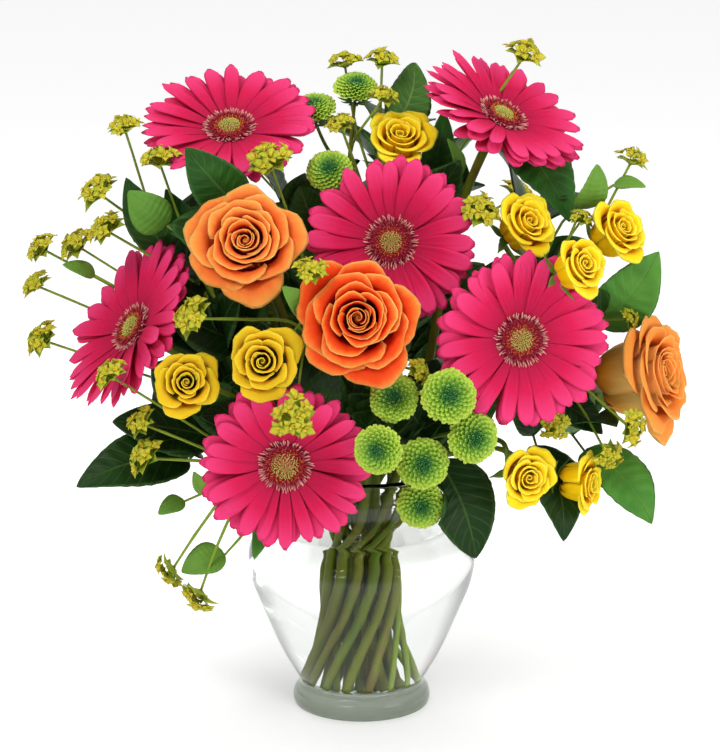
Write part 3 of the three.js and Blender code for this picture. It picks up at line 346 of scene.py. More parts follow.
def finished(tree, shader, colour, height, millimetres):
    """Links a colour, and relief of that many millimetres, to the shader."""
    relief = add(tree, "Bump", {"Height": height, "Strength": 1.0, "Distance": millimetres * MM})
    tree.links.new(relief, shader.inputs["Normal"])
    if colour:
        tree.links.new(colour, shader.inputs["Base Color"])


# %% [markdown]
# ## The layout
# These are the places that the bouquet was modelled from: each bloom's middle, how far it is turned to the
# right and lifted up, and its radius, and for each spray the fork and the ends of its twigs.

# %% Blooms
GERBERAS = [
    dict(name="gerbera_top_left", at=(-77, -10, 355), turn=-5, lift=59, reach=53),
    dict(name="gerbera_top_right", at=(82, 0, 361), turn=47, lift=56, reach=52),
    dict(name="gerbera_middle", at=(17, -48, 295), turn=-5, lift=15, reach=51),
    dict(name="gerbera_left", at=(-132, -45, 243.5), turn=-60, lift=33, reach=55),
    dict(name="gerbera_right", at=(90, -78, 244), turn=12, lift=10, reach=52),
    dict(name="gerbera_low", at=(-43.5, -95, 175.5), turn=0, lift=-4, reach=51),
]
ROSES = [
    dict(name="rose_left", at=(-65, -88, 303), turn=-6, lift=22, reach=36),
    dict(name="rose_middle", at=(-2, -114, 264), turn=-3, lift=15, reach=37),
    dict(name="rose_right", at=(174, -27, 213), turn=62, lift=14, reach=40),
]


def bloom_list(rows):
    """Blooms from rows of place, turn, lift and radius."""
    return [dict(at=at, turn=turn, lift=lift, reach=reach) for at, turn, lift, reach in rows]


SPRAY_ROSES = [
    dict(name="spray_rose_top", fork=(18, 2, 300), blooms=bloom_list([((22.5, -12, 351), 10, 50, 24)])),
    dict(name="spray_rose_high", fork=(92, -12, 262), blooms=bloom_list([
        ((95.5, -45, 306), 35, 32, 21.5), ((124, -86, 289), 42, 25, 20), ((150, -35, 300.5), 42, 32, 22)])),
    dict(name="spray_rose_left", fork=(-66, -58, 200), blooms=bloom_list([
        ((-98, -106, 226), 4, 18, 21), ((-55, -116, 240), -4, 14, 23.5)])),
    dict(name="spray_rose_low", fork=(78, -38, 176), blooms=bloom_list([
        ((95.5, -80, 163.5), 22, 4, 20.5), ((131, -65, 156), 62, 2, 19)])),
]
BUTTON_MUMS = [
    dict(name="button_mum_front", fork=(28, -50, 176), blooms=bloom_list([
        ((18.5, -98, 215), -12, 24, 14.5), ((48.5, -104, 217.5), 10, 20, 16),
        ((62.5, -96, 191.5), 22, 4, 15.5), ((9.5, -110, 188), -16, 2, 14.5),
        ((34.5, -92, 175.5), 4, 2, 15.5), ((34, -80, 147.5), 4, -6, 14.5)])),
    dict(name="button_mum_top", fork=(-12, 10, 318), blooms=bloom_list([
        ((-29, 15, 363), -25, 66, 14.5), ((-18.5, -22, 332), -8, 42, 14), ((-3.5, 14, 376), 8, 66, 13.5)])),
]

# %% Leaves and bracts
SALAL = [
    dict(name="salal_left", fork=(-70, -15, 215), heads=[], leaves=[
        ((-110, -15, 281), (-135.5, -38, 331), 27), ((-97, -12, 286), (-114, -22, 322), 20),
        ((-70, -46, 315), (-99.5, -66, 352), 31), ((-102, -38, 163), (-165, -70, 155.5), 36),
        ((-88, -36, 176), (-145, -52, 190), 33)]),
    dict(name="salal_right", fork=(92, 8, 205), heads=[], leaves=[
        ((138, -12, 240), (173, -28, 286), 35), ((90, 16, 346), (122, -18, 302), 40),
        ((132, -28, 166), (169.5, -60, 130), 36), ((103, -34, 171), (117, -72, 123), 34),
        ((112, -26, 196), (141, -44, 180), 24)]),
    dict(name="salal_front", fork=(14, -34, 172), heads=[], leaves=[
        ((44, -58, 168), (66, -79, 115), 42), ((-46, -62, 158), (-62, -88, 117), 17),
        ((-62, -52, 186), (-92, -80, 200), 26)]),
    dict(name="salal_back", fork=(6, 34, 232), heads=[], leaves=[
        ((18, 18, 352), (31, 8, 392), 30), ((38, 10, 318), (48, 2, 364), 24),
        ((-48, 42, 300), (-84, 66, 338), 38), ((40, 50, 300), (72, 74, 340), 40),
        ((-70, 46, 240), (-122, 64, 262), 40), ((-24, 66, 252), (-42, 104, 286), 42),
        ((34, 66, 246), (58, 104, 276), 42), ((80, 44, 240), (130, 62, 256), 42),
        ((-62, 48, 196), (-106, 76, 182), 38), ((-12, 66, 198), (-20, 112, 190), 42),
        ((48, 60, 196), (88, 92, 182), 40), ((-4, 58, 168), (-6, 88, 130), 40)]),
]
BUPLEURUM = [
    dict(name="bupleurum_upper_left", fork=(-92, -22, 268),
         heads=[((-137, -22, 356), 10.5), ((-151, -32, 320), 13), ((-116, -38, 339), 12),
                ((-146, -42, 300), 12)],
         leaves=[((-112, -48, 305), (-133, -58, 326), 24)]),
    dict(name="bupleurum_left", fork=(-98, -8, 234),
         heads=[((-187, -12, 284), 10.5), ((-191, -12, 262), 10.5), ((-166, -10, 285), 12),
                ((-186, -22, 231), 12)],
         leaves=[((-158, -8, 268), (-176, -16, 276), 10)]),
    dict(name="bupleurum_low_left", fork=(-66, -60, 168),
         heads=[((-141, -92, 226), 10.5), ((-124, -84, 196), 10.5), ((-121, -84, 176), 13),
                ((-110, -70, 106), 10.5), ((-94, -74, 93), 12)],
         leaves=[((-80, -62, 112), (-105, -70, 104), 20), ((-103, -64, 145), (-118, -70, 139), 12),
                 ((-90, -64, 150), (-97, -72, 165), 10)]),
    dict(name="bupleurum_middle", fork=(-28, -42, 238),
         heads=[((-52, -54, 341), 14), ((-93, -100, 261), 13), ((-28, -120, 291), 9.5),
                ((-37, -130, 212), 13), ((31, -92, 229), 8)],
         leaves=[((-30, -92, 262), (-44, -108, 281), 14)]),
    dict(name="bupleurum_top", fork=(14, 6, 284),
         heads=[((95, 14, 394), 13), ((12, 10, 391), 10.5), ((-10, 28, 388), 10.5), ((12, -6, 372), 9.5),
                ((-12, -14, 357), 9.5), ((67, -52, 313), 12)],
         leaves=[((58, -4, 326), (50, -12, 350), 10)]),
    dict(name="bupleurum_right", fork=(104, -6, 238),
         heads=[((158, -6, 335), 10.5), ((127, -34, 305), 8), ((156, -30, 246), 7), ((112, -66, 192), 9.5),
                ((154, -62, 190), 12), ((142, -62, 173), 9.5)],
         leaves=[((128, -22, 310), (136, -34, 338), 20), ((148, -8, 322), (166, -16, 322), 10)]),
    dict(name="bupleurum_back", fork=(-4, 58, 226),
         heads=[((-66, 92, 316), 13), ((24, 104, 326), 13), ((96, 84, 300), 13), ((-104, 92, 226), 13),
                ((14, 122, 236), 13), ((110, 88, 216), 13)],
         leaves=[]),
]

# %% [markdown]
# ## How the stems run
# A florist turns each stem the same way as it goes in, so the stems cross at a waist below the neck and stand
# splayed on the glass floor. Each stem takes the free place at the neck nearest to the way it leans, rises in
# a bend to its bloom, and is then eased clear of its neighbours, of the blooms and of the lip. This repeats
# the steps that the CAD stems were made with, so that each fine stem lies in its CAD stem.

# %% Places on the floor and at the neck
CLEARANCE = 0.35
FLOOR = 15
NECK_HEIGHT, NECK_INSIDE, LIP_OVER, LIP_CLEAR = 130, 34, 158, 64
TWIST = 106
RINGS = [(13, 27, 1), (8, 17, -1), (5, 7.5, 1)]
STEM_RADIUS = dict(gerbera=2.7, rose=3, spray=2.4, mum=2.2, salal=2.2, bupleurum=1.6)
TWIG_RADIUS, BLOOM_TWIG_RADIUS = 1.2, 1.6
LEAN_SHARE, LEAN_MOST = 0.3, 27
places = []
for count, radius, way in RINGS:
    foot = np.arange(count) / count * 2 * math.pi
    neck = foot + way * math.radians(TWIST)
    for a, b in zip(foot, neck):
        places.append((np.array([radius * math.cos(a), radius * math.sin(a), FLOOR + CLEARANCE]),
                       np.array([radius * math.cos(b), radius * math.sin(b), NECK_HEIGHT])))


def take_place(end):
    """The free place at the neck that is nearest to a point a share of the way out to the stem's end."""
    lean = math.hypot(end[0], end[1]) or 1
    wanted = end[:2] / lean * min(LEAN_MOST, lean * LEAN_SHARE)
    far = [np.hypot(*(neck[:2] - wanted)) for _, neck in places]
    return places.pop(int(np.argmin(far)))


# %% Stems and twigs before they are bent clear
PATH_STEPS, TWIG_STEPS, FORKS_FROM = 5, 3, 0.6
GERBERA_NECK, ROSE_DEPTH, MUM_DEPTH = 14, 1.05, 0.52 + CLEARANCE / 14
UPWARD = np.array([0.0, 0.0, 1.0])
paths = []


def bezier(start, leave, end, arrive, steps):
    """Points on a cubic that leaves and arrives in given ways, with handles of 0.38 and 0.3 of its span."""
    span = np.linalg.norm(end - start)
    t = np.linspace(0, 1, steps + 1)[:, None]
    one, two = start + leave * span * 0.38, end - arrive * span * 0.3
    return (1 - t)**3 * start + 3 * (1 - t)**2 * t * one + 3 * (1 - t) * t**2 * two + t**3 * end


def grow_stem(piece, radius, end, arrive):
    """From a place on the floor straight to the neck, and on in a curve to the end."""
    foot, neck = take_place(end)
    leave = unit(unit(neck - foot) + 0.6 * UPWARD)
    points = np.vstack([foot, bezier(neck, leave, end, arrive, PATH_STEPS)])
    paths.append(dict(piece=piece, radius=radius, points=points, held=2, stem=None))
    return paths[-1]


def along_stem(points, share):
    """The place a share of the way from a stem's neck to its end."""
    place = 1 + share * (len(points) - 2)
    k = min(int(place), len(points) - 2)
    return points[k] + (points[k + 1] - points[k]) * (place - k)


def grow_twig(piece, radius, stem, share, end, arrive):
    """From a share of the way up a stem, onward in a curve to a bloom, a leaf or a head of bracts."""
    fork = along_stem(stem["points"], share)
    leave = unit(fork - along_stem(stem["points"], share - 0.2))
    points = bezier(fork, leave, end, arrive, TWIG_STEPS)
    paths.append(dict(piece=piece, radius=radius, points=points, held=1, stem=stem, share=share))
    return paths[-1]


def grow_spray(spray, radius, ends):
    """A stem up to the fork, then a twig to each end."""
    fork = np.array(spray["fork"], float)
    middle = np.mean([end for end, _, _ in ends], axis=0)
    stem = grow_stem(spray["name"], radius, fork, unit(unit(middle - fork) + UPWARD))
    twigs = [grow_twig(spray["name"], thick, stem, 1 - (1 - FORKS_FROM) * k / len(ends), end, arrive)
             for k, (end, arrive, thick) in enumerate(ends)]
    return stem, twigs


def behind(bloom, depth):
    """A point behind a bloom's middle."""
    return np.array(bloom["at"], float) - depth * bloom_axes(bloom)[2]


def bloom_ends(spray, depth):
    return [(behind(b, b["reach"] * depth), bloom_axes(b)[2], BLOOM_TWIG_RADIUS) for b in spray["blooms"]]


def green_ends(spray):
    fork = np.array(spray["fork"], float)
    ends = [(np.array(at, float), unit(np.array(at, float) - fork), TWIG_RADIUS) for at, _ in spray["heads"]]
    return ends + [(np.array(root, float), unit(np.subtract(tip, root).astype(float)), TWIG_RADIUS)
                   for root, tip, _ in spray["leaves"]]


gerbera_stems = [grow_stem(b["name"], STEM_RADIUS["gerbera"], behind(b, GERBERA_NECK), bloom_axes(b)[2])
                 for b in GERBERAS]
rose_stems = [grow_stem(b["name"], STEM_RADIUS["rose"], behind(b, b["reach"] * ROSE_DEPTH), bloom_axes(b)[2])
              for b in ROSES]
rose_sprays = [grow_spray(s, STEM_RADIUS["spray"], bloom_ends(s, ROSE_DEPTH)) for s in SPRAY_ROSES]
mum_sprays = [grow_spray(s, STEM_RADIUS["mum"], bloom_ends(s, MUM_DEPTH)) for s in BUTTON_MUMS]
salal_sprays = [grow_spray(s, STEM_RADIUS["salal"], green_ends(s)) for s in SALAL]
bupleurum_sprays = [grow_spray(s, STEM_RADIUS["bupleurum"], green_ends(s)) for s in BUPLEURUM]
print("stems and twigs:", len(paths), "free places left:", len(places))

# %% Blooms as balls and drums that stems go round
DRUM_DEEP, DRUM_WIDER = 10, 4
balls = [(b, b["name"], 0.5, b["reach"] * 0.92) for b in ROSES]
balls += [(b, s["name"], 0.5, b["reach"] * 0.92) for s in SPRAY_ROSES for b in s["blooms"]]
balls += [(b, s["name"], 0.0, b["reach"] + 1) for s in BUTTON_MUMS for b in s["blooms"]]


def head_moves(points, radius, own):
    """How far points move to leave each bloom: straight back out of a gerbera's drum, and away from the
    middle of a rose's or a mum's ball. own[bloom name] tells which points end in that bloom."""
    move = np.zeros_like(points)
    for bloom in GERBERAS:
        local = (points - np.array(bloom["at"], float)) @ bloom_axes(bloom).T
        far = np.hypot(local[:, 0], local[:, 1])
        inside = (far < bloom["reach"] + DRUM_WIDER + radius) & (np.abs(local[:, 2]) <= DRUM_DEEP + radius)
        inside = inside & ~own[bloom["name"]]
        move += np.where(inside, -DRUM_DEEP - radius - local[:, 2], 0)[:, None] * bloom_axes(bloom)[2]
    for bloom, name, depth, size in balls:
        off = points - behind(bloom, depth * bloom["reach"])
        deep = size + radius - np.linalg.norm(off, axis=1)
        move += unit(off) * np.where((deep > 0) & ~own[name], deep, 0)[:, None]
    return move


# %% Bend the stems clear
ROUNDS, APART, EASE, PUSH = 60, 1.4, 0.25, 0.6
names = sorted({p["piece"] for p in paths} | {b["name"] for b in GERBERAS})
first = np.cumsum([0] + [len(p["points"]) for p in paths])
every = np.vstack([p["points"] for p in paths])
start = np.concatenate([first[n] + np.arange(len(p["points"]) - 1) for n, p in enumerate(paths)])
lengths = [len(p["points"]) - 1 for p in paths]
segment_piece = np.repeat([names.index(p["piece"]) for p in paths], lengths)
segment_radius = np.repeat([p["radius"] for p in paths], lengths)
segment_last = np.concatenate([np.arange(n) == n - 1 for n in lengths])
segment_bends = np.concatenate([(np.arange(n) > 0) | (p["stem"] is not None) for n, p in zip(lengths, paths)])
fixed = np.concatenate([(np.arange(n + 1) < p["held"]) | (np.arange(n + 1) == n)
                        for n, p in zip(lengths, paths)])
one, two = np.triu_indices(len(start), 1)
differ = segment_piece[one] != segment_piece[two]
one, two = one[differ], two[differ]
wanted = segment_radius[one] + segment_radius[two] + APART
own_end = {name: segment_last & (segment_piece == names.index(name)) for name in names}


def nearest(a, b, c, d):
    """The nearest points of two segments, as shares of their lengths, from the two perpendiculars."""
    u, v, w = b - a, d - c, a - c
    uu, uv, vv = (u * u).sum(1), (u * v).sum(1), (v * v).sum(1)
    uw, vw = (u * w).sum(1), (v * w).sum(1)
    flat = uu * vv - uv * uv
    s = np.where(flat < 1e-9, 0, np.clip((uv * vw - vv * uw) / np.where(flat < 1e-9, 1, flat), 0, 1))
    t = np.clip((uv * s + vw) / vv, 0, 1)
    return np.clip((uv * t - uw) / uu, 0, 1)[:, None], t[:, None]


# %% Push and ease, round by round
for _ in range(ROUNDS):
    moves = np.zeros_like(every)
    a, b, c, d = every[start[one]], every[start[one] + 1], every[start[two]], every[start[two] + 1]
    s, t = nearest(a, b, c, d)
    gap = (a + (b - a) * s) - (c + (d - c) * t)
    short = wanted - np.linalg.norm(gap, axis=1)
    push = unit(gap) * np.where(short > 0, short * PUSH, 0)[:, None]
    near = short > 0
    for at, part in ((start[one], 1 - s), (start[one] + 1, s), (start[two], t - 1), (start[two] + 1, -t)):
        np.add.at(moves, at[near], (push * part)[near])
    for share in (0, 1 / 3, 2 / 3):
        p = every[start] + (every[start + 1] - every[start]) * share
        move = head_moves(p, segment_radius, own_end)
        out = np.hypot(p[:, 0], p[:, 1])
        low = (out > NECK_INSIDE) & (out < LIP_CLEAR) & (p[:, 2] < LIP_OVER)
        move[:, 2] += np.where(low, LIP_OVER - p[:, 2], 0)
        move *= segment_bends[:, None] * PUSH
        np.add.at(moves, start, move * (1 - share))
        np.add.at(moves, start + 1, move * share)
    moves[fixed] = 0
    shared = np.roll(moves, 1, axis=0) + np.roll(moves, -1, axis=0)
    every = every + np.where(fixed[:, None], 0, moves * (1 - EASE / 2) + shared * EASE / 2)
    for n, path in enumerate(paths):
        if path["stem"] is not None:
            stem = next(k for k, p in enumerate(paths) if p is path["stem"])
            every[first[n]] = along_stem(every[first[stem]:first[stem + 1]], path["share"])
for n, path in enumerate(paths):
    path["points"] = every[first[n]:first[n + 1]]
print("last moves, in mm:", round(float(np.abs(moves).max()), 3))

# %% [markdown]
# ## Green finishes
# Stems, sepals, leaves and bracts are living skin over wet tissue: waxy, slightly glossy, never one green.
# The stems are olive with brown scars, the salal leaves are deep green above with a paler midrib and side
# veins, and the bupleurum's bracts are yellow-green. Each finish reads the tone of its own blade, so that
# neighbours differ, and noise in object space gives patches some millimetres across.


# %% Stem skin
def stem_skin():
    """Waxy green skin: olive with darker and browner patches, and sepals (kind 1) of a fresher green."""
    finish, tree, shader = new_finish("stem_waxy_skin", Roughness=0.45, Subsurface_Weight=0.05,
                                      Subsurface_Scale=0.002, Specular_IOR_Level=0.15)
    uv, along, edge, tone, side, kind = blade_inputs(tree)
    mottle = patches(tree, 9, 4.0, (1, 1, 0.35))
    toned = add(tree, "Math", mottle, 0.9, add(tree, "Math", tone, 0.55, -0.25, operation="MULTIPLY_ADD"),
                operation="MULTIPLY_ADD")
    skin = add(tree, "ValToRGB", toned, ramp=[(0.1, "#48661c"), (0.34, "#66781e"), (0.56, "#727024"),
                                              (0.74, "#5a4624"), (0.99, "#35261a")])
    fresh = add(tree, "ValToRGB", mottle, ramp=[(0.3, "#4f7c2a"), (0.6, "#6d953a"), (0.9, "#8ca048")])
    colour = add(tree, "Mix", {0: kind, 6: skin, 7: fresh}, data_type="RGBA", output=2)
    finished(tree, shader, colour, patches(tree, 1.6, 2.0, (1, 1, 0.3)), 0.25)
    return finish


# %% Salal leaf skin
SIDE_VEINS = 9


def leaf_skin():
    """Salal leaf: leathery, semi-glossy, with a pale midrib and side veins that run forward to the edge."""
    finish, tree, shader = new_finish("salal_leathery_leaf", Roughness=0.45, Specular_IOR_Level=0.14)
    uv, along, edge, tone, side, kind = blade_inputs(tree)
    slanted = add(tree, "Math", edge, -0.22, along, operation="MULTIPLY_ADD")
    turns = add(tree, "Math", slanted, 2 * math.pi * SIDE_VEINS, operation="MULTIPLY")
    wave = add(tree, "Math", turns, operation="SINE")
    ridge = add(tree, "Math", wave, 0.5, 0.5, operation="MULTIPLY_ADD")
    vein = add(tree, "Math", add(tree, "Math", ridge, 16.0, operation="POWER"), 0.4, operation="MULTIPLY")
    near_midrib = add(tree, "Math", edge, -16.0, 1.0, operation="MULTIPLY_ADD")
    midrib = add(tree, "Math", near_midrib, 0.0, operation="MAXIMUM")
    veins = add(tree, "Math", vein, midrib, operation="MAXIMUM")
    mottle = patches(tree, 14, 4.0)
    toned = add(tree, "Math", mottle, 0.5, add(tree, "Math", tone, 0.8, -0.3, operation="MULTIPLY_ADD"),
                operation="MULTIPLY_ADD")
    top = add(tree, "ValToRGB", toned, ramp=[(0.01, "#14300d"), (0.3, "#204816"), (0.58, "#357024"),
                                             (0.95, "#5b9238")])
    share = add(tree, "Math", veins, 0.16, operation="MULTIPLY")
    top = add(tree, "Mix", {0: share, 6: top, 7: linear("#86a850")}, data_type="RGBA", output=2)
    below = add(tree, "Mix", {0: veins, 6: linear("#4d7a38"), 7: linear("#86a05a")}, data_type="RGBA",
                output=2)
    skin = add(tree, "Mix", {0: side, 6: below, 7: top}, data_type="RGBA", output=2)
    colour = add(tree, "Mix", {0: kind, 6: skin, 7: linear("#66762c")}, data_type="RGBA", output=2)
    finished(tree, shader, colour, add(tree, "Math", veins, -1.0, mottle, operation="MULTIPLY_ADD"), 0.3)
    return finish


# %% Bupleurum skin
def bract_skin():
    """Bupleurum: thin yellow-green bracts, yellower in the middle of a head, and greener leaves (kind 1)."""
    finish, tree, shader = new_finish("bupleurum_bract", Roughness=0.55, Subsurface_Weight=0.08,
                                      Subsurface_Scale=0.002, Specular_IOR_Level=0.12)
    uv, along, edge, tone, side, kind = blade_inputs(tree)
    lines = streaks(tree, uv, 7, 1.2)
    toned = add(tree, "Math", lines, 0.4, add(tree, "Math", tone, 0.65, -0.1, operation="MULTIPLY_ADD"),
                operation="MULTIPLY_ADD")
    bract = add(tree, "ValToRGB", toned, ramp=[(0.01, "#5c8426"), (0.3, "#9ea82c"), (0.58, "#ccbc34"),
                                               (0.99, "#f0cc40")])
    leaf = add(tree, "ValToRGB", toned, ramp=[(0.01, "#3a6c24"), (0.5, "#6a963a"), (0.99, "#9cb850")])
    colour = add(tree, "Mix", {0: kind, 6: bract, 7: leaf}, data_type="RGBA", output=2)
    finished(tree, shader, colour, lines, 0.2)
    return finish


STEM_SKIN, LEAF_SKIN, BRACT_SKIN = stem_skin(), leaf_skin(), bract_skin()

# %% [markdown]
# ## Stems
# A rose stem is a round woody bar with a swelling and a scar where each leaf was stripped, and a gerbera's is
# fleshy and plain. A skinned curve would do, but a tube whose radius is a formula along its length takes the
# swellings and the slanted cut at its foot as well. Below the neck it runs straight, above it bends.

# %% Tubes along the paths
NECK_POINTS = 4
SMOOTH_STEPS = 5
NODE_SPACING = dict(rose=33.0, spray=26.0, mum=21.0, salal=29.0, bupleurum=24.0, gerbera=0.0)


def stem_path(path, end=()):
    """A stem's points with more along its straight foot, made smooth, and with its last point changed for
    those of a cup or hip."""
    points = path["points"]
    if len(end):
        points = np.vstack([points[:-1], end])
    if path["stem"] is None:
        share = np.linspace(0, 1, NECK_POINTS + 1)[:-1, None]
        points = np.vstack([points[0] + (points[1] - points[0]) * share, points[1:]])
    return smooth_path(points, SMOOTH_STEPS)


def stem_radii(path, radius, spacing, seed):
    """The radius with a tenth more at each leaf scar, as a row of narrow bells, and a slow unevenness."""
    length = np.concatenate([[0], np.cumsum(np.linalg.norm(np.diff(path, axis=0), axis=1))])
    radii = radius * (1 + 0.03 * np.sin(length / 19 + seed))
    if spacing:
        off = (length + spacing * draw(seed) + spacing / 2) % spacing - spacing / 2
        radii *= 1 + 0.16 * np.exp(-(off / 2.4)**2)
    return radii


def plain_stem(path, kind, seed):
    """A stem or twig of even thickness."""
    points = stem_path(path)
    is_stem = path["stem"] is None
    radii = stem_radii(points, path["radius"] * (0.96 if is_stem else 0.8), NODE_SPACING[kind], seed)
    if not is_stem:
        radii *= np.linspace(1.15, 0.75, len(radii))
    return tube(points, radii, 12 if is_stem else 8, tone=float(draw(seed)), slant=0.5 if is_stem else 0)


def cup_stem(path, bloom, kind, section, seed, tone):
    """A stem that ends in a bloom's cup or hip: the section gives depth behind the bloom and radius there."""
    end = np.array([behind(bloom, -z) for z, _ in section])
    points = stem_path(path, end)
    count = SMOOTH_STEPS * (len(section) - 1) + 1
    body = stem_radii(points, path["radius"] * 0.96, NODE_SPACING[kind], seed)
    places_on = np.linspace(0, len(section) - 1, count)
    body[-count:] = np.interp(places_on, range(len(section)), [r for _, r in section])
    blend_in = SMOOTH_STEPS
    ends = [body[-count - blend_in - 1], section[0][1]]
    body[-count - blend_in:-count] = np.interp(np.arange(blend_in), [-1, blend_in], ends)
    return tube(points, body, 14, tone=tone, slant=0.5 if path["stem"] is None else 0)


# %% Bracts and sepals
def pointed_blades(bloom, count, root, middle, tip, half, thickness=0.6, turn=0.0, kind=1.0, rows=7):
    """Pointed blades round a bloom's axis: each midline is a quadratic curve through [radius, height] at its
    root, middle and tip, and its width is a narrow bell that ends in a point."""
    across, up = grid(rows, 5)
    k = np.arange(count)
    angle = each_blade((k + turn) / count * 2 * math.pi)
    root, middle, tip = (np.asarray(p, float) for p in (root, middle, tip))
    handle = 2 * middle - (root + tip) / 2
    line = [(1 - up)**2 * root[n] + 2 * up * (1 - up) * handle[n] + up**2 * tip[n] for n in (0, 1)]
    width = half * (0.55 + 0.45 * np.sin(math.pi * np.minimum(up * 1.25, 1))) * (1.02 - up**2.2)
    side = width * across
    out = line[0] - 0.12 * np.abs(side) + 0 * angle
    height = line[1] + 0.1 * half * across**2 + 0 * angle
    points = turned_out(out, side, height, angle)
    return blades(placed(points, bloom), thickness, tone=draw(k + count), kind=kind)


# %% [markdown]
# ## Gerberas
# A gerbera is a composite head: strap-like ray florets in two or three layers round a disc. Each ray is
# cupped near its root and flatter at its round tip, with two or three lengthwise grooves and a small notch.
# One side of each ray lies over its neighbour. The rays differ in length, width and droop, which is what
# tells a real one from a pressed one.

# %% Rays
RAY_ROOT = 11.0
RAY_LAYERS = [
    dict(count=20, root=0.5, lift=16.5, length=0.975, half=5.7, sag=2.8, tone=0.0),
    dict(count=19, root=-0.8, lift=12.0, length=1.0, half=5.9, sag=2.6, tone=0.35),
    dict(count=17, root=-2.1, lift=7.0, length=0.96, half=6.0, sag=2.2, tone=0.8),
]


def gerbera_rays(bloom, seed):
    """Each ray's point is out along its midline and across it. Its width is a bell that ends round, its
    height is a straight rise less a sag, with its edges a little up, its grooves pressed in and one side
    over the next ray."""
    across, up = grid(14, 9)
    parts = []
    for n, layer in enumerate(RAY_LAYERS):
        k = np.arange(layer["count"])
        pick = seed * 100 + n * 37 + k
        angle = each_blade((k + 0.5 * (n % 2) + 0.33 * (draw(pick) - 0.5)) / layer["count"] * 2 * math.pi)
        long = each_blade((bloom["reach"] * layer["length"] - RAY_ROOT) * (0.9 + 0.1 * draw(pick + 11)))
        slope = each_blade(np.tan(np.radians(layer["lift"] + 7 * (draw(pick + 23) - 0.5))))
        half = each_blade(layer["half"] * (0.72 + 0.36 * draw(pick + 5)))
        bow = each_blade(5 * (draw(pick + 41) - 0.5))
        roll = each_blade(0.35 + 0.5 * draw(pick + 53))
        droop = each_blade(1.6 * draw(pick + 67))
        body = 0.4 + 0.6 * np.sin(math.pi / 2 * np.minimum(up / 0.6, 1))
        tip = np.sqrt(np.clip(1 - (np.clip(up - 0.7, 0, 1) / 0.315)**2.5, 0.03, 1))
        side = half * body * tip * across
        notch = 0.3 * up**30 * np.cos(3 * math.pi * across)
        out = RAY_ROOT + long * (up - 0.02 * across**2 * up**4) + notch
        groove = 0.42 * np.cos(3 * math.pi * across) * np.sin(math.pi * up**0.8)
        cup = 0.16 * half * across**2 * np.sin(math.pi * np.minimum(up * 1.1, 1)) - 0.35 * across**2 * up**3
        rise = layer["root"] + slope * long * up - layer["sag"] * up**2 - droop * up**3
        height = rise + cup + groove + roll * across * body
        points = turned_out(out, side + bow * up**2, height, angle)
        parts.append(blades(placed(points, bloom), 0.7, tone=layer["tone"] + 0.3 * draw(pick + 3)))
    return joined(parts)


# %% Disc: buds in the middle, florets round them
GOLDEN = math.pi * (3 - math.sqrt(5))
DISC_BODY = [[0, 0], [12.2, 0], [12.8, 1.4], [11.2, 3.0], [8.6, 2.4], [7.0, 2.7], [4.5, 4.1],
             [2, 4.5], [0, 4.6]]
DISC_TONES = dict(button=0.0, orange=0.3, crimson=0.55, fringe=0.85)


def each_row(values):
    """One value for each row of points."""
    return np.reshape(values, (-1, 1))


def ring_of_buds(bloom, count, radii, height, lean, long, thick, tone, seed):
    """Buds set by the golden angle between two radii, evenly over the area, leaning outward more or less."""
    k = np.arange(count)
    r = np.sqrt(radii[0]**2 + (radii[1]**2 - radii[0]**2) * (k + 0.5) / count)
    angle = k * GOLDEN + 0.3 * draw(k + seed)
    out = lean[0] + (lean[1] - lean[0]) * draw(k * 5 + seed)
    turn = angle + 0.7 * (draw(k * 11 + seed) - 0.5)
    level = height[0] + (height[1] - height[0]) * (k + 0.5) / count
    root = np.stack([r * np.cos(angle), r * np.sin(angle), level], -1)
    way = unit(np.stack([out * np.cos(turn), out * np.sin(turn), 1 + 0 * r], -1))
    tip = root + way * each_row(long[0] + (long[1] - long[0]) * draw(k * 13 + seed))
    tones = tone + 0.12 * (draw(k * 17 + seed) - 0.5)
    return buds(placed(root, bloom), placed(tip, bloom), thick, 4, tone=tones)


def disc_florets(bloom, seed, button):
    """A tight button of buds, short orange florets round it, crimson ones, and a fringe of fine pale tips
    that lies out over the roots of the rays."""
    body = turned_shape(DISC_BODY, 32, tone=DISC_TONES["crimson"])
    dome = [[0, 2], [button, 2], [button + 0.1, 2.4], [button * 0.6, 3.5], [0, 4.0]]
    heart = turned_shape(dome, 32, tone=DISC_TONES["button"] + 0.12)
    for part in (body, heart):
        part["points"] = placed(part["points"], bloom)
    rings = [(230, (0, button), (4.6, 2.9), (0.0, 0.4), (0.8, 1.5), 0.4, "button", 0),
             (90, (button, button + 2.4), (2.4, 2.6), (0.1, 0.5), (1.4, 2.4), 0.45, "orange", 3),
             (120, (button + 2.2, 11.6), (2.4, 2.2), (0.2, 0.9), (2.0, 3.4), 0.5, "crimson", 5),
             (130, (10.4, 12.6), (2.4, 1.0), (1.2, 2.6), (3.2, 5.2), 0.34, "fringe", 9)]
    florets = [ring_of_buds(bloom, *sizes, DISC_TONES[name], seed + more) for *sizes, name, more in rings]
    return joined([body, heart] + florets)


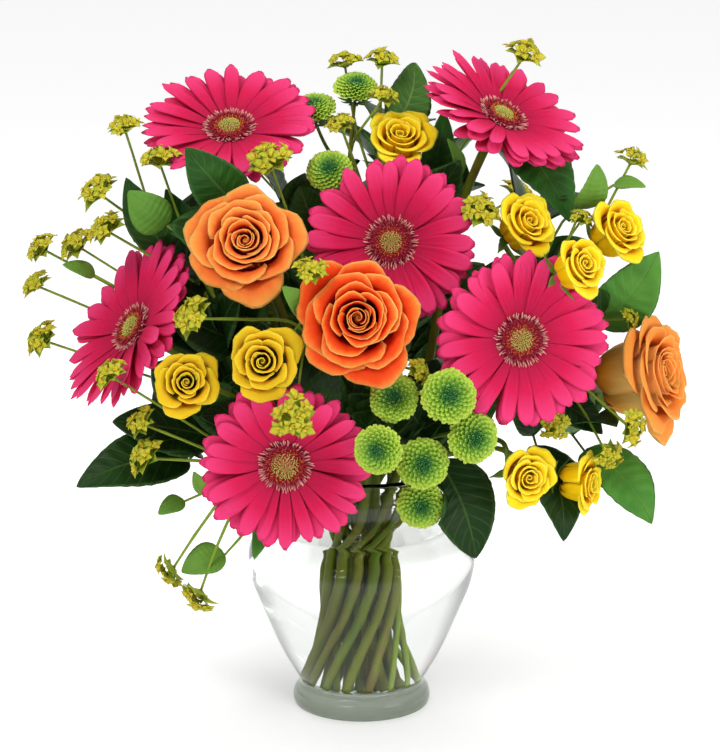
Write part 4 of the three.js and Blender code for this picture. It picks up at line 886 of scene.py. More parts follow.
# %% Gerbera finishes
def ray_skin():
    """Gerbera ray: velvety hot pink with fine lengthwise lines. It is deeper and redder towards the root,
    partly its own colour and partly painted shade, paler towards the tip, and its edges carry a painted
    highlight."""
    finish, tree, shader = new_finish("gerbera_ray_velvet", Roughness=0.6, Subsurface_Weight=0.06,
                                      Subsurface_Scale=0.002, Specular_IOR_Level=0.02)
    uv, along, edge, tone, side, kind = blade_inputs(tree)
    lines = streaks(tree, uv, 12, 0.6, 3.0)
    depth = add(tree, "Math", tone, -0.42, add(tree, "Math", lines, 0.34, -0.1, operation="MULTIPLY_ADD"),
                operation="MULTIPLY_ADD")
    # Partly the ray's own colour and partly painted shade: the ramp is deep crimson at the root, where the
    # disc and the rays above shade it, and paler towards the tip.
    place = add(tree, "Math", along, depth, operation="ADD")
    colour = add(tree, "ValToRGB", place, ramp=[(0.01, "#960522"), (0.2, "#c80c38"), (0.5, "#f01252"),
                                                (0.8, "#fa2468"), (0.99, "#fc4888")])
    # Painted highlight: the ray's edges are mixed up to half way to a pale pink.
    rim = add(tree, "Math", add(tree, "Math", edge, 7.0, operation="POWER"), 0.5, operation="MULTIPLY")
    colour = add(tree, "Mix", {0: rim, 6: colour, 7: linear("#f8689c")}, data_type="RGBA", output=2)
    below = add(tree, "ValToRGB", along, ramp=[(0.01, "#a01c3c"), (0.5, "#c8204e"), (0.99, "#e04078")])
    colour = add(tree, "Mix", {0: side, 6: below, 7: colour}, data_type="RGBA", output=2)
    finished(tree, shader, colour, lines, 0.35)
    return finish


def disc_skin():
    """Gerbera disc: a yellow-green button, orange-red and crimson florets round it, and a fringe whose tips
    are cream. The tone tells the four apart, and each floret is paler at its tip."""
    finish, tree, shader = new_finish("gerbera_disc_florets", Roughness=0.65, Specular_IOR_Level=0.05)
    uv, along, edge, tone, side, kind = blade_inputs(tree)
    low = add(tree, "ValToRGB", tone, ramp=[(0.01, "#6f7a26"), (0.15, "#8c7c28"), (0.3, "#a83a1c"),
                                            (0.55, "#74102a"), (0.8, "#a01c44"), (0.99, "#b8305a")])
    high = add(tree, "ValToRGB", tone, ramp=[(0.01, "#d4d070"), (0.15, "#d4bc5c"), (0.3, "#d86a34"),
                                             (0.55, "#b02a40"), (0.8, "#f3b8a8"), (0.99, "#fae0c4")])
    share = add(tree, "Math", along, 1.3, operation="POWER")
    colour = add(tree, "Mix", {0: share, 6: low, 7: high}, data_type="RGBA", output=2)
    finished(tree, shader, colour, patches(tree, 1.0), 0.1)
    return finish


RAY_SKIN, DISC_SKIN = ray_skin(), disc_skin()

# %% Make the gerberas
CALYX = [(-13.5, 2.9), (-8.5, 8.4), (-4.3 - CLEARANCE, 10.9)]
BUTTONS = [6.2, 6.0, 6.2, 6.4, 6.4, 7.6]
for n, bloom in enumerate(GERBERAS):
    calyx = [pointed_blades(bloom, 18, (7.0, -10.5), (10.6, -7.4), (13.6, -3.4 - 0.6 * layer), 1.9,
                            turn=0.5 * layer) for layer in (0, 1)]
    calyx.append(pointed_blades(bloom, 13, (3.4, -13.4), (7.6, -10.6), (10.6, -7.6), 2.2))
    stem = cup_stem(gerbera_stems[n], bloom, "gerbera", CALYX, n + 1, tone=0.15 + 0.3 * float(draw(n)))
    make_piece(bloom["name"] + "_stem", joined([stem] + calyx), STEM_SKIN)
    make_piece(bloom["name"] + "_disc", disc_florets(bloom, n * 7 + 1, BUTTONS[n]), DISC_SKIN)
    make_piece(bloom["name"] + "_rays", gerbera_rays(bloom, n + 1), RAY_SKIN)
print("gerbera triangles:", sum(t for name, t in pieces_made if name.startswith("gerbera")))

# %% [markdown]
# ## Roses
# A rose is a spiral of petals. Those in the middle are wrapped tightly and lean in, those further out stand
# like cups, and the guard petals open wide and roll back over their own shoulders, more at the sides than in
# the middle, which is what gives them their points. One side of each petal is tucked in under the next. Sizes
# are shares of the bloom's radius.

# %% Petals
PETAL_AGES = [0, 0.2, 0.45, 0.7, 1]
THROATS = [0.06, 0.2, 0.37, 0.54, 0.67]
THROAT_HEIGHTS = [0.06, 0.12, 0.09, 0.0, -0.14]
LIPS = [0.05, 0.12, 0.2, 0.31, 0.42]
LIP_STARTS = [100, 92, 84, 74, 62]
LIP_ENDS = [84, 58, 22, -22, -58]
RIM_FALLS = [0.05, 0.1, 0.2, 0.3, 0.34]
SIDE_ROLLS = [0, 0.35, 0.75, 1.1, 1.3]
RUFFLES = [0.004, 0.014, 0.026, 0.036, 0.042]
SPANS = [160, 104, 74, 60, 50]
CUP_SHARE = 0.5


def by_age(table, age):
    """A value between the ones in a table, for petals from the heart (0) to the guards (1)."""
    return each_blade(np.interp(age, PETAL_AGES, table))


def rose_petals(bloom, count, seed, tone, kind=0.0):
    """Each petal's section is a cubic cup from the hip to its throat, and on it a lip that is an arc of a
    circle and turns from its start angle to its end angle. The petal's middle stands out furthest and its
    sides come in, one more than the other, so that the rims make a rough five-sided figure."""
    across, up = grid(17, 15)
    k = np.arange(count)
    pick = seed * 60 + k
    age = np.clip(k / (count - 1) + 0.05 * (draw(pick) - 0.5), 0, 1)
    throat = by_age(THROATS, age) * each_blade(0.96 + 0.08 * draw(pick + 3))
    height = by_age(THROAT_HEIGHTS, age) + each_blade(0.05 * (draw(pick + 7) - 0.5))
    lip = by_age(LIPS, age) * each_blade(0.82 + 0.3 * draw(pick + 13))
    first, last = np.radians(by_age(LIP_STARTS, age)), np.radians(by_age(LIP_ENDS, age))
    last = last - by_age(SIDE_ROLLS, age) * np.abs(across)**2.5 + each_blade(0.5 * (draw(pick + 17) - 0.5))
    base = each_blade(np.interp(age, [0, 1], [-0.5, -0.92]))
    share = up * (1 - by_age(RIM_FALLS, age) * (0.6 * np.abs(across)**1.6 + 0.4 * across**4))
    t = np.minimum(share / CUP_SHARE, 1)
    deep = height - base
    before_lip = (throat - 0.4 * deep * np.cos(first), height - 0.4 * deep * np.sin(first))
    corners = [(0.08, base), (throat * 1.02, base + 0.02), before_lip, (throat, height)]
    weights = (1 - t)**3, 3 * (1 - t)**2 * t, 3 * (1 - t) * t**2, t**3
    radius, rise = (sum(w * c[n] for w, c in zip(weights, corners)) for n in (0, 1))
    turned = first - last
    now = first - turned * np.clip((share - CUP_SHARE) / (1 - CUP_SHARE), 0, 1)
    radius = radius + lip / turned * (np.sin(first) - np.sin(now))
    rise = rise + lip / turned * (np.cos(now) - np.cos(first))
    radius = radius * (1 - 0.12 * across**2 * np.minimum(1, 2 * up)) + 0.03 * across * np.minimum(1, 3 * up)
    phase = each_blade(6.28 * draw(pick + 19))
    wave = np.sin(4.5 * across + phase) + 0.5 * np.sin(11 * across + 2 * phase)
    ruffle = wave * up**5 * by_age(RUFFLES, age)
    angle = each_blade(k * GOLDEN + 0.5 * (draw(pick + 23) - 0.5))
    angle = angle + np.radians(by_age(SPANS, age)) * across * np.minimum(1, 0.2 + up * 2.2)
    radius = radius + ruffle
    points = np.stack([radius * np.cos(angle), radius * np.sin(angle), rise + ruffle + 0 * angle], -1)
    return blades(placed(points * bloom["reach"], bloom), 0.5, tone=tone + 0.35 * draw(pick + 29), kind=kind)


def rose_core(bloom, tone, kind=0.0):
    """A small closed bud in the heart of the spiral."""
    section = [[0, -0.8], [0.08, -0.7], [0.1, -0.4], [0.08, -0.1], [0.04, 0.02], [0, 0.01]]
    part = turned_shape(section, 16, tone=tone, kind=kind)
    part["points"] = placed(part["points"] * bloom["reach"], bloom)
    return part


# %% Rose finishes
def petal_skin(name, front, back, other_back, rim):
    """Rose petal: velvety on both faces. The inner face runs from deep at its root to pale at its upper edge,
    and the outer face is deeper in colour, with a second choice for kind 1. Fine veins fan from the root. Its
    very edges and tip carry a painted highlight in a pale colour."""
    finish, tree, shader = new_finish(name, Roughness=0.55, Subsurface_Weight=0.35, Subsurface_Scale=0.006,
                                      Specular_IOR_Level=0.03)
    uv, along, edge, tone, side, kind = blade_inputs(tree)
    veins = streaks(tree, uv, 16, 1.5, 3.0)
    shift = add(tree, "Math", tone, -0.25, add(tree, "Math", veins, 0.2, -0.06, operation="MULTIPLY_ADD"),
                operation="MULTIPLY_ADD")
    place = add(tree, "Math", along, shift, operation="ADD")
    inner = add(tree, "ValToRGB", place, ramp=front)
    outer = add(tree, "Mix", {0: kind, 6: add(tree, "ValToRGB", place, ramp=back),
                              7: add(tree, "ValToRGB", place, ramp=other_back)}, data_type="RGBA", output=2)
    colour = add(tree, "Mix", {0: side, 6: outer, 7: inner}, data_type="RGBA", output=2)
    # Painted highlight: the very edges and the tip of each petal are mixed up to about a third of the way to a
    # pale edge colour.
    border = add(tree, "Math", add(tree, "Math", edge, along, operation="MAXIMUM"), 24.0, operation="POWER")
    share = add(tree, "Math", border, 0.35, operation="MULTIPLY")
    colour = add(tree, "Mix", {0: share, 6: colour, 7: linear(rim)}, data_type="RGBA", output=2)
    finished(tree, shader, colour, veins, 0.25)
    return finish


ORANGE = petal_skin(
    "rose_petal_orange", rim="#fdc470",
    front=[(0.01, "#b8240a"), (0.4, "#e04a0c"), (0.6, "#f0751a"), (0.8, "#f8952e"), (0.99, "#fdbc68")],
    back=[(0.01, "#c83418"), (0.45, "#e25024"), (0.75, "#ee7030"), (0.99, "#f79a46")],
    other_back=[(0.01, "#c01c08"), (0.45, "#de2e10"), (0.75, "#ea481a"), (0.99, "#f58a38")])
YELLOW = petal_skin(
    "rose_petal_yellow", rim="#fde45c",
    front=[(0.01, "#dc9806"), (0.4, "#f6b80a"), (0.6, "#fdd012"), (0.8, "#ffdc22"), (0.99, "#ffe84c")],
    back=[(0.01, "#cca01a"), (0.4, "#ecb414"), (0.75, "#fccc1c"), (0.99, "#ffe03c")],
    other_back=[(0.01, "#9c9426"), (0.4, "#c8a020"), (0.75, "#e4b41e"), (0.99, "#f2c830")])

# %% Make the roses
ROSE_KINDS, ROSE_TONES = [0.0, 1.0, 0.8], [0.15, 0.3, -2.2]
ROSE_COUNT, SPRAY_ROSE_COUNT = 24, 17


def hip_section(bloom, path):
    """The hip under a rose, from its shares of the bloom's radius, a little clear of the petals."""
    size = bloom["reach"]
    return [(-1.3 * size, path["radius"] * 0.96), (-1.16 * size, 0.15 * size),
            (-size - CLEARANCE, 0.17 * size)]


def sepals(bloom, seed):
    """Five pointed green sepals that leave the hip and curl out under the petals."""
    size = bloom["reach"]
    root, middle, tip = (0.14 * size, -1.04 * size), (0.46 * size, -0.98 * size), (0.86 * size, -0.78 * size)
    return pointed_blades(bloom, 5, root, middle, tip, 0.13 * size, thickness=0.7, turn=float(draw(seed)),
                          rows=9)


for n, bloom in enumerate(ROSES):
    tone = 0.3 + 0.5 * float(draw(n + 50))
    stem = cup_stem(rose_stems[n], bloom, "rose", hip_section(bloom, rose_stems[n]), 11 + n, tone)
    make_piece(bloom["name"] + "_stem", joined([stem, sepals(bloom, n)]), STEM_SKIN)
    petals = rose_petals(bloom, ROSE_COUNT, n + 1, ROSE_TONES[n], ROSE_KINDS[n])
    whole = joined([rose_core(bloom, 0.5, ROSE_KINDS[n]), petals])
    make_piece(bloom["name"] + "_petals", whole, ORANGE)
for n, spray in enumerate(SPRAY_ROSES):
    stem, twigs = rose_sprays[n]
    parts = [plain_stem(stem, "spray", 20 + n)]
    for k, bloom in enumerate(spray["blooms"]):
        hip = hip_section(bloom, twigs[k])
        parts.append(cup_stem(twigs[k], bloom, "spray", hip, 30 + n * 4 + k, tone=0.2))
        parts.append(sepals(bloom, n * 4 + k + 9))
        kind = 1.0 if spray["name"] == "spray_rose_left" else 0.0
        petals = rose_petals(bloom, SPRAY_ROSE_COUNT, 10 + n * 5 + k, 0.15 + 0.55 * kind, kind)
        whole = joined([rose_core(bloom, 0.5, kind), petals])
        make_piece(f"{spray['name']}_petals_{k + 1}", whole, YELLOW)
    make_piece(spray["name"] + "_stem", joined(parts), STEM_SKIN)
print("rose triangles:", sum(t for name, t in pieces_made if "rose" in name))

# %% [markdown]
# ## Button chrysanthemums
# A button mum is a flattened ball of some two hundred spoon-shaped florets, all alike but for their age: the
# outer ones are long, pale and open, and those in the middle are short, dark and still upright, in a dimple.
# They are set by the golden angle, from the middle out to just behind the widest ring.

# %% Mum florets
MUM_AGES = [0, 0.25, 0.5, 0.75, 1]
MUM_ANGLES = [6, 24, 44, 68, 98]
MUM_DIMPLES = [0.16, 0.07, 0.01, 0, 0]
MUM_WIDTHS = [0.045, 0.06, 0.082, 0.108, 0.125]
MUM_FLAT = 0.62
FLORETS, HEART_BUDS = 150, 46


def mum_florets(bloom, seed):
    """Each floret runs straight from a point half as far out to its tip on the flattened ball, and is rolled
    across into half a tube that opens to the head's axis. Its tip is round."""
    k = np.arange(FLORETS)
    age = np.sqrt((k + 0.5) / FLORETS)
    tip_angle = np.radians(np.interp(age, MUM_AGES, MUM_ANGLES))
    root_angle = 0.82 * tip_angle
    far = 0.98 + 0.09 * (draw(k + seed) - 0.5)
    dimple = np.interp(age, MUM_AGES, MUM_DIMPLES)
    tip = np.stack([far * np.sin(tip_angle), MUM_FLAT * far * np.cos(tip_angle) - dimple])
    root = 0.5 * np.stack([np.sin(root_angle), MUM_FLAT * np.cos(root_angle) - dimple])
    run, climb = (each_blade(v) for v in tip - root)
    long = np.hypot(run, climb)
    across, up = grid(7, 7)
    half = each_blade(np.interp(age, MUM_AGES, MUM_WIDTHS) * (0.85 + 0.3 * draw(k * 3 + seed)))
    width = half * (0.5 + 0.5 * up) * np.sqrt(np.clip(1 - (np.clip(up - 0.75, 0, 1) / 0.28)**2, 0.06, 1))
    side = width * np.sin(1.5 * across)
    hollow = 0.9 * width * (1 - np.cos(1.5 * across)) - 0.05 * np.sin(math.pi * up)
    out = each_blade(root[0]) + run * up - hollow * climb / long
    rise = each_blade(root[1]) + climb * up + hollow * run / long
    points = turned_out(out, side, rise, each_blade(k * GOLDEN)) * bloom["reach"]
    return blades(placed(points, bloom), 0.35, tone=age + 0.1 * (draw(k * 5 + seed) - 0.5))


def mum_heart(bloom, seed):
    """The youngest florets: small closed buds that fill the dimple."""
    size = bloom["reach"]
    radii, height, long = (0, 0.34 * size), (0.24 * size, 0.3 * size), (0.1 * size, 0.17 * size)
    return ring_of_buds(bloom, HEART_BUDS, radii, height, (-0.1, 0.3), long, 0.042 * size, 0.06, seed)


def mum_core(bloom):
    """The small dense ball that the florets stand out of."""
    section = [[0, -0.5], [0.34, -0.44], [0.62, -0.26], [0.7, -0.02], [0.56, 0.2], [0.34, 0.24], [0.12, 0.16],
               [0, 0.14]]
    part = turned_shape(section, 24, tone=0.0)
    part["points"] = placed(part["points"] * bloom["reach"], bloom)
    return part


# %% Mum finish
def mum_skin():
    """Chrysanthemum floret: matt green, dark blue-green in the dimple and yellow-green outside, paler at each
    tip, so that the florets read as rows of small scales."""
    finish, tree, shader = new_finish("chrysanthemum_floret", Roughness=0.6, Subsurface_Weight=0.06,
                                      Subsurface_Scale=0.002, Specular_IOR_Level=0.05)
    uv, along, edge, tone, side, kind = blade_inputs(tree)
    body = add(tree, "ValToRGB", tone, ramp=[(0.01, "#1a5c36"), (0.25, "#4c8c34"), (0.6, "#7cac36"),
                                             (0.99, "#98c03a")])
    tips = add(tree, "ValToRGB", tone, ramp=[(0.01, "#48965a"), (0.25, "#a4d060"), (0.6, "#cce85e"),
                                             (0.99, "#dcf068")])
    border = add(tree, "Math", along, add(tree, "Math", edge, 0.8, operation="MULTIPLY"), operation="MAXIMUM")
    share = add(tree, "Math", border, 3.0, operation="POWER")
    colour = add(tree, "Mix", {0: share, 6: body, 7: tips}, data_type="RGBA", output=2)
    finished(tree, shader, colour, streaks(tree, uv, 6, 1), 0.1)
    return finish


MUM_SKIN = mum_skin()

# %% Make the mums
for n, spray in enumerate(BUTTON_MUMS):
    stem, twigs = mum_sprays[n]
    parts = [plain_stem(stem, "mum", 60 + n)]
    parts += [plain_stem(twig, "mum", 70 + n * 9 + k) for k, twig in enumerate(twigs)]
    for k, bloom in enumerate(spray["blooms"]):
        size = bloom["reach"]
        parts.append(pointed_blades(bloom, 12, (0.16 * size, -0.62 * size), (0.5 * size, -0.56 * size),
                                    (0.8 * size, -0.4 * size), 0.11 * size))
        seed = n * 50 + k * 7
        head = joined([mum_core(bloom), mum_heart(bloom, seed), mum_florets(bloom, seed)])
        make_piece(f"{spray['name']}_head_{k + 1}", head, MUM_SKIN)
    make_piece(spray["name"] + "_stem", joined(parts), STEM_SKIN)
print("mum triangles:", sum(t for name, t in pieces_made if "mum" in name))

# %% [markdown]
# ## Salal leaves
# A salal leaf is broad and pointed, leathery, folded a little along its midrib and arched from root to tip,
# with fine teeth along its edge. A flat cut-out with a picture of veins would look right from one side only,
# so each leaf is a closed blade with its fold, its waved edge and its veins in relief. Small plain leaves on
# the twigs inside close the gaps between the blooms. There are hundreds, so their grid is coarse.

# %% Leaves
LEAF_ARCH, LEAF_FOLD = 0.1, 0.1
LEAF_GRID = (41, 15)
LEAF_OUTWARD, LEAF_FORWARD, FRONT_HALF = 0.8, 1.3, 10
FORWARD = np.array([0.0, -1.0, 0.0])
TEETH = 26


def leaf_blades(leaves, seed, tone=0.0, kind=0.0, teeth=0.02, ribs=0.022, size=LEAF_GRID):
    """Each leaf's width is a product of powers of its share and of what is left of it, widest at two fifths.
    It faces up and outward, and in the front half of the bouquet forward as well. It arches as a parabola,
    its halves fold up from the midrib, its side veins stand in relief and its edge waves slowly."""
    roots, tips, widths = (np.array([leaf[i] for leaf in leaves], float) for i in range(3))
    along = tips - roots
    length = np.linalg.norm(along, axis=1)
    along = unit(along)
    outward = roots + tips
    outward[:, 2] = 0
    in_front = (roots + tips)[:, 1:2] / 2 < FRONT_HALF
    over = unit(outward) * LEAF_OUTWARD + UPWARD + in_front * LEAF_FORWARD * FORWARD
    side_way = unit(np.cross(along, over))
    over = unit(np.cross(side_way, along))
    across, up = grid(*size)
    k = np.arange(len(leaves))
    swell = np.maximum(up, 1e-3)**0.55 * np.maximum(1 - up, 0)**0.85
    shape = swell / (0.39**0.55 * 0.61**0.85) * 0.985 + 0.02
    saw = (up * TEETH) % 1
    shape = shape * (1 + teeth * (saw - 0.5) * (np.abs(across) > 0.99))
    half = each_blade(widths / 2)
    side = half * shape * across
    phase = each_blade(6.28 * draw(k + seed))
    curl = each_blade(0.6 + 0.8 * draw(k * 3 + seed))
    long = each_blade(length)
    rise = LEAF_ARCH * long * 4 * up * (1 - up)
    rise = rise + half * shape * (0.12 + LEAF_FOLD * np.abs(across)**1.4 * curl)
    rise = rise + 0.07 * half * np.sin(9 * up + phase + 1.5 * across) * across**2
    veins = np.cos(2 * math.pi * SIDE_VEINS * (up - 0.11 * np.abs(across)))
    rise = rise - half * ribs * veins * np.minimum(1, 4 * np.abs(across)) * shape
    bend = each_blade(0.1 * (draw(k * 5 + seed) - 0.5)) * long * np.sin(math.pi * up)
    points = roots[:, None, None]
    for way, far in ((along, long * (up + 0 * across)), (side_way, side + bend), (over, rise)):
        points = points + way[:, None, None] * far[..., None]
    return blades(clear_of_mums(points), 0.7, tone=tone + 0.5 * draw(k * 7 + seed), kind=kind)


MUM_ROOM = 1.06


def clear_of_mums(points):
    """Points inside the ball of a mum's head, brought straight out to its surface."""
    for spray in BUTTON_MUMS:
        for bloom in spray["blooms"]:
            off = points - np.array(bloom["at"], float)
            far = np.linalg.norm(off, axis=-1, keepdims=True)
            points = points + unit(off) * np.maximum(bloom["reach"] * MUM_ROOM - far, 0)
    return points


# %% Small leaves that close the gaps
FILLING = 17
FILLING_CLEAR = 3.0
FILLING_GRID = (17, 7)
BOUQUET_MIDDLE, BOUQUET_HALF = np.array([0.0, 0.0, 240.0]), np.array([150.0, 115.0, 130.0])


def filling_leaves(twigs, seed):
    """Small leaves along the twigs inside the bouquet, which close the gaps between the blooms. They stand
    outward and up by turns, and one is left out where any of its midline comes near a bloom."""
    leaves = []
    for n, twig in enumerate(twigs):
        for k, share in enumerate(np.linspace(0.12, 0.88, FILLING)):
            place = min(int(share * TWIG_STEPS), TWIG_STEPS - 1)
            t = share * TWIG_STEPS - place
            root = twig["points"][place] * (1 - t) + twig["points"][place + 1] * t
            pick = seed + n * 17 + k * 3
            turn = 2.4 * k + 6.28 * float(draw(pick))
            out = unit(np.array([root[0], root[1], 0.0]))
            swing = np.array([math.cos(turn), math.sin(turn), 0.35 + 0.7 * float(draw(pick + 1))])
            way = unit(out * 0.7 + swing)
            long = 30 + 34 * float(draw(pick + 2))
            line = root + way * long * np.linspace(0.25, 1, 6)[:, None]
            away = head_moves(line, FILLING_CLEAR, {name: np.zeros(len(line), bool) for name in names})
            on_lip = (np.hypot(line[:, 0], line[:, 1]) < LIP_CLEAR + 6) & (line[:, 2] < LIP_OVER + 6)
            small = np.abs(line / BOUQUET_HALF - BOUQUET_MIDDLE / BOUQUET_HALF).max() < 1
            if np.abs(away).max() == 0 and not on_lip.any() and small:
                leaves.append((root, line[-1], long * 0.62))
    return leaves


# %% Make the salal
SALAL_TONES = dict(salal_left=[0.1, 0.1, 0.3, -0.1, -0.1], salal_right=[0.55, 0.5, 0.8, 0.0, -0.2],
                   salal_front=[-0.1, 0.9, -0.2], salal_back=[0.1] * 12)
for n, spray in enumerate(SALAL):
    stem, twigs = salal_sprays[n]
    parts = [plain_stem(path, "salal", 80 + n * 20 + k) for k, path in enumerate([stem] + twigs)]
    for part in parts:
        part["look"] = part["look"] * [1, 1, 0] + [0, 0, 1]
    parts.append(leaf_blades(spray["leaves"], 5 + n * 31, tone=np.array(SALAL_TONES[spray["name"]])))
    filling = filling_leaves(twigs + [stem], 700 + n * 90)
    print(spray["name"], "filling leaves:", len(filling))
    parts.append(leaf_blades(filling, 900 + n * 31, tone=-0.1, teeth=0.0, ribs=0.0, size=FILLING_GRID))
    make_piece(spray["name"], joined(parts), LEAF_SKIN)

# %% [markdown]
# ## Bupleurum
# Bupleurum carries its tiny flowers in umbels: five or six oval bracts in a star, and on short stalks above
# them smaller stars, each with a few yellow flowers. From a step away each umbel is a ragged yellow-green
# tuft, so every small star is there, with its bracts pointed and cupped.


# %% Umbels
def star_bracts(middles, ways, spreads, petals, seed, rows, columns, tone, rises):
    """Stars of oval pointed bracts. Each bract runs out from its star's middle and rises as it goes, by a
    share of its length between two rises, and its width is a bell that ends in a point."""
    count = len(middles)
    ways = unit(ways)
    right = unit(np.cross(ways, [0.2, 0.3, 0.93]))
    other = np.cross(ways, right)
    star = np.repeat(np.arange(count), petals)
    k = np.arange(count * petals)
    turn = (k % petals + 0.5 * (draw(k + seed) - 0.5)) / petals * 2 * math.pi + 2.4 * star
    out_way = np.cos(turn)[:, None] * right[star] + np.sin(turn)[:, None] * other[star]
    side_way = np.cross(ways[star], out_way)
    across, up = grid(rows, columns)
    long = each_blade(spreads[star] * (0.82 + 0.25 * draw(k * 3 + seed)))
    rise = each_blade(rises[0] + (rises[1] - rises[0]) * draw(k * 5 + seed))
    width = 0.4 * long * np.sin(math.pi * (0.12 + 0.86 * up))**0.8 * (1.04 - up**3)
    side = width * across
    lift_up = long * (rise * up + 0.12 * np.sin(math.pi * up)) + 0.35 * width * across**2
    start = middles[star][:, None, None]
    points = start + out_way[:, None, None] * (long * (0.05 + 0.95 * up) + 0 * side)[..., None]
    points = points + side_way[:, None, None] * side[..., None]
    points = points + ways[star][:, None, None] * lift_up[..., None]
    return blades(points, 0.5, tone=np.broadcast_to(tone, count)[star] + 0.3 * draw(k * 7 + seed))


def umbels(heads, twigs, seed):
    """Each head: a star of broad bracts at the twig's end, and round and above it smaller stars on stalks
    with a few florets in each."""
    at = np.array([h[0] for h in heads], float)
    spread = np.array([h[1] for h in heads], float)
    way = unit(np.array([t["points"][-1] - t["points"][-2] for t in twigs]))
    way = unit(way + 0.5 * UPWARD)
    low = at - way * spread[:, None] * 0.12
    parts = [star_bracts(low, way, spread * 1.04, 7, seed, 8, 5, 0.05, (-0.1, 0.4))]
    small = 8
    head = np.repeat(np.arange(len(heads)), small)
    k = np.arange(len(head))
    right = unit(np.cross(way, [0.2, 0.3, 0.93]))
    other = np.cross(way, right)
    turn = (k % small) * GOLDEN + head
    out = np.sqrt((k % small + 0.3) / small) * 0.78
    lean = np.cos(turn)[:, None] * right[head] + np.sin(turn)[:, None] * other[head]
    offset = lean * out[:, None] + way[head] * (0.5 - 0.45 * out + 0.2 * draw(k + seed))[:, None]
    middles = at[head] + offset * spread[head][:, None]
    ways = unit(lean * out[:, None] + way[head] * 0.7)
    parts.append(star_bracts(middles, ways, spread[head] * 0.48, 5, seed + 3, 5, 4, 0.35, (0.1, 0.6)))
    roots = at[head] - way[head] * spread[head][:, None] * 0.2
    parts.append(buds(roots, middles, 0.28, 4, tone=0.4))
    florets = 6
    star = np.repeat(np.arange(len(middles)), florets)
    j = np.arange(len(star))
    wobble = np.stack([draw(j * 3 + seed), draw(j * 5 + seed), draw(j * 7 + seed)], -1) - 0.5
    root = middles[star]
    tip = root + ways[star] * spread[head][star][:, None] * 0.2 + wobble * spread[head][star][:, None] * 0.3
    parts.append(buds(root, tip, spread[head][star] * 0.055, 4, tone=0.95))
    return joined(parts)


# %% Make the bupleurum
for n, spray in enumerate(BUPLEURUM):
    stem, twigs = bupleurum_sprays[n]
    parts = [plain_stem(path, "bupleurum", 200 + n * 20 + k) for k, path in enumerate([stem] + twigs)]
    for part in parts:
        part["look"] = part["look"] * [0, 1, 0] + [0.35, 0, 0.6]
    count = len(spray["heads"])
    parts.append(umbels(spray["heads"], twigs[:count], 300 + n * 50))
    if spray["leaves"]:
        parts.append(leaf_blades(spray["leaves"], 400 + n, tone=0.2, kind=1.0, teeth=0.0))
    make_piece(spray["name"], joined(parts), BRACT_SKIN)
print("green triangles:", sum(t for name, t in pieces_made if name.startswith(("salal", "bupleurum"))))

# %% [markdown]
# ## The vase and the water
# The vase is pressed soda-lime glass: a thick ring foot, a body that widens to a round shoulder, a short neck
# and a flared lip. The section is turned round its axis. The water is a closed body of its own that reaches a
# hair into the glass, because light that passes from glass to water would otherwise meet a film of air there
# and be thrown back.

# %% Sections
VASE_OUTSIDE = [(39, 0), (41.2, 1.2), (42, 4), (41.8, 7), (40.6, 10.2), (37, 14), (41.5, 22.5), (50, 38),
                (62, 66), (67.2, 80), (69, 92), (68.2, 100), (64, 107), (54.5, 113.2), (44, 119), (40.8, 123),
                (40, 127), (41.2, 133.5), (44, 139), (47.6, 144.6), (50.6, 148.6), (51, 149.8)]
VASE_INSIDE = [(50.6, 150.6), (49.6, 151), (48.7, 150.4), (45.8, 146.6), (41, 140), (38, 134), (36.8, 127),
               (37.8, 121.5), (41, 116), (50.5, 110), (60.5, 104), (65, 98.5), (66, 92), (64.3, 80), (59, 66),
               (47, 38.5), (38.6, 23.5), (36, 18.4), (31.5, 15.5), (24, 15)]
WATER_LEVEL = 109
MENISCUS = 1.6
INTO_GLASS = 0.12
SIDES = 128


def rounded(section, steps):
    """A smooth curve through a section's points."""
    flat = np.array([(r, 0.0, z) for r, z in section])
    return smooth_path(flat, steps)[:, [0, 2]]


def make_vase():
    """The closed section: flat under the foot, up the outside, over the lip and down the inside."""
    section = np.vstack([[(0, 0)], [(38.2, 0)], rounded(VASE_OUTSIDE + VASE_INSIDE, 4), [(0, FLOOR)]])
    return turned_shape(section, SIDES)


def make_water():
    """Inside the glass, level on top, and drawn up at the wall by a small meniscus."""
    wall = rounded(VASE_INSIDE, 4)[::-1]
    wall = wall[wall[:, 1] < WATER_LEVEL]
    edge = np.interp(WATER_LEVEL + MENISCUS, [104, 110], [60.5, 50.5])
    top = [(edge, WATER_LEVEL + MENISCUS), (edge - 1.2, WATER_LEVEL + 0.7), (edge - 3, WATER_LEVEL + 0.15),
           (edge - 6, WATER_LEVEL), (edge / 2, WATER_LEVEL)]
    body = wall + [INTO_GLASS, 0]
    floor = [(0, FLOOR - INTO_GLASS), (12, FLOOR - INTO_GLASS)]
    section = np.vstack([floor, body - [0, INTO_GLASS], top, [(0, WATER_LEVEL)]])
    return turned_shape(section, SIDES)


# %% Glass and water finishes
FOOT_TINT_AND_SHADE_HEIGHT = 24


def clear_glass():
    """Pressed soda-lime glass: clear in its wall, and darker grey-green low in the thick foot, partly the tint
    of thick glass and partly painted shade, with waves from the mould some centimetres long."""
    finish, tree, shader = new_finish("pressed_clear_glass", Roughness=0.0, IOR=1.5, Transmission_Weight=1.0,
                                      Specular_Tint=(0.4, 0.4, 0.4, 1))
    # Partly the tint of thick glass and partly painted shade: the base colour is dark grey-green at the bottom
    # of the foot and fades to clear by about 19 mm up.
    place = add(tree, "SeparateXYZ", add(tree, "TexCoord", output="Object"), output=None)
    height = add(tree, "Math", place[2], 1 / (FOOT_TINT_AND_SHADE_HEIGHT * MM), operation="MULTIPLY")
    colour = add(tree, "ValToRGB", height, ramp=[(0.2, "#788470"), (0.55, "#a6b29e"), (0.8, "#fdfefd")])
    finished(tree, shader, colour, patches(tree, 40, 1.0), 0.4)
    return finish


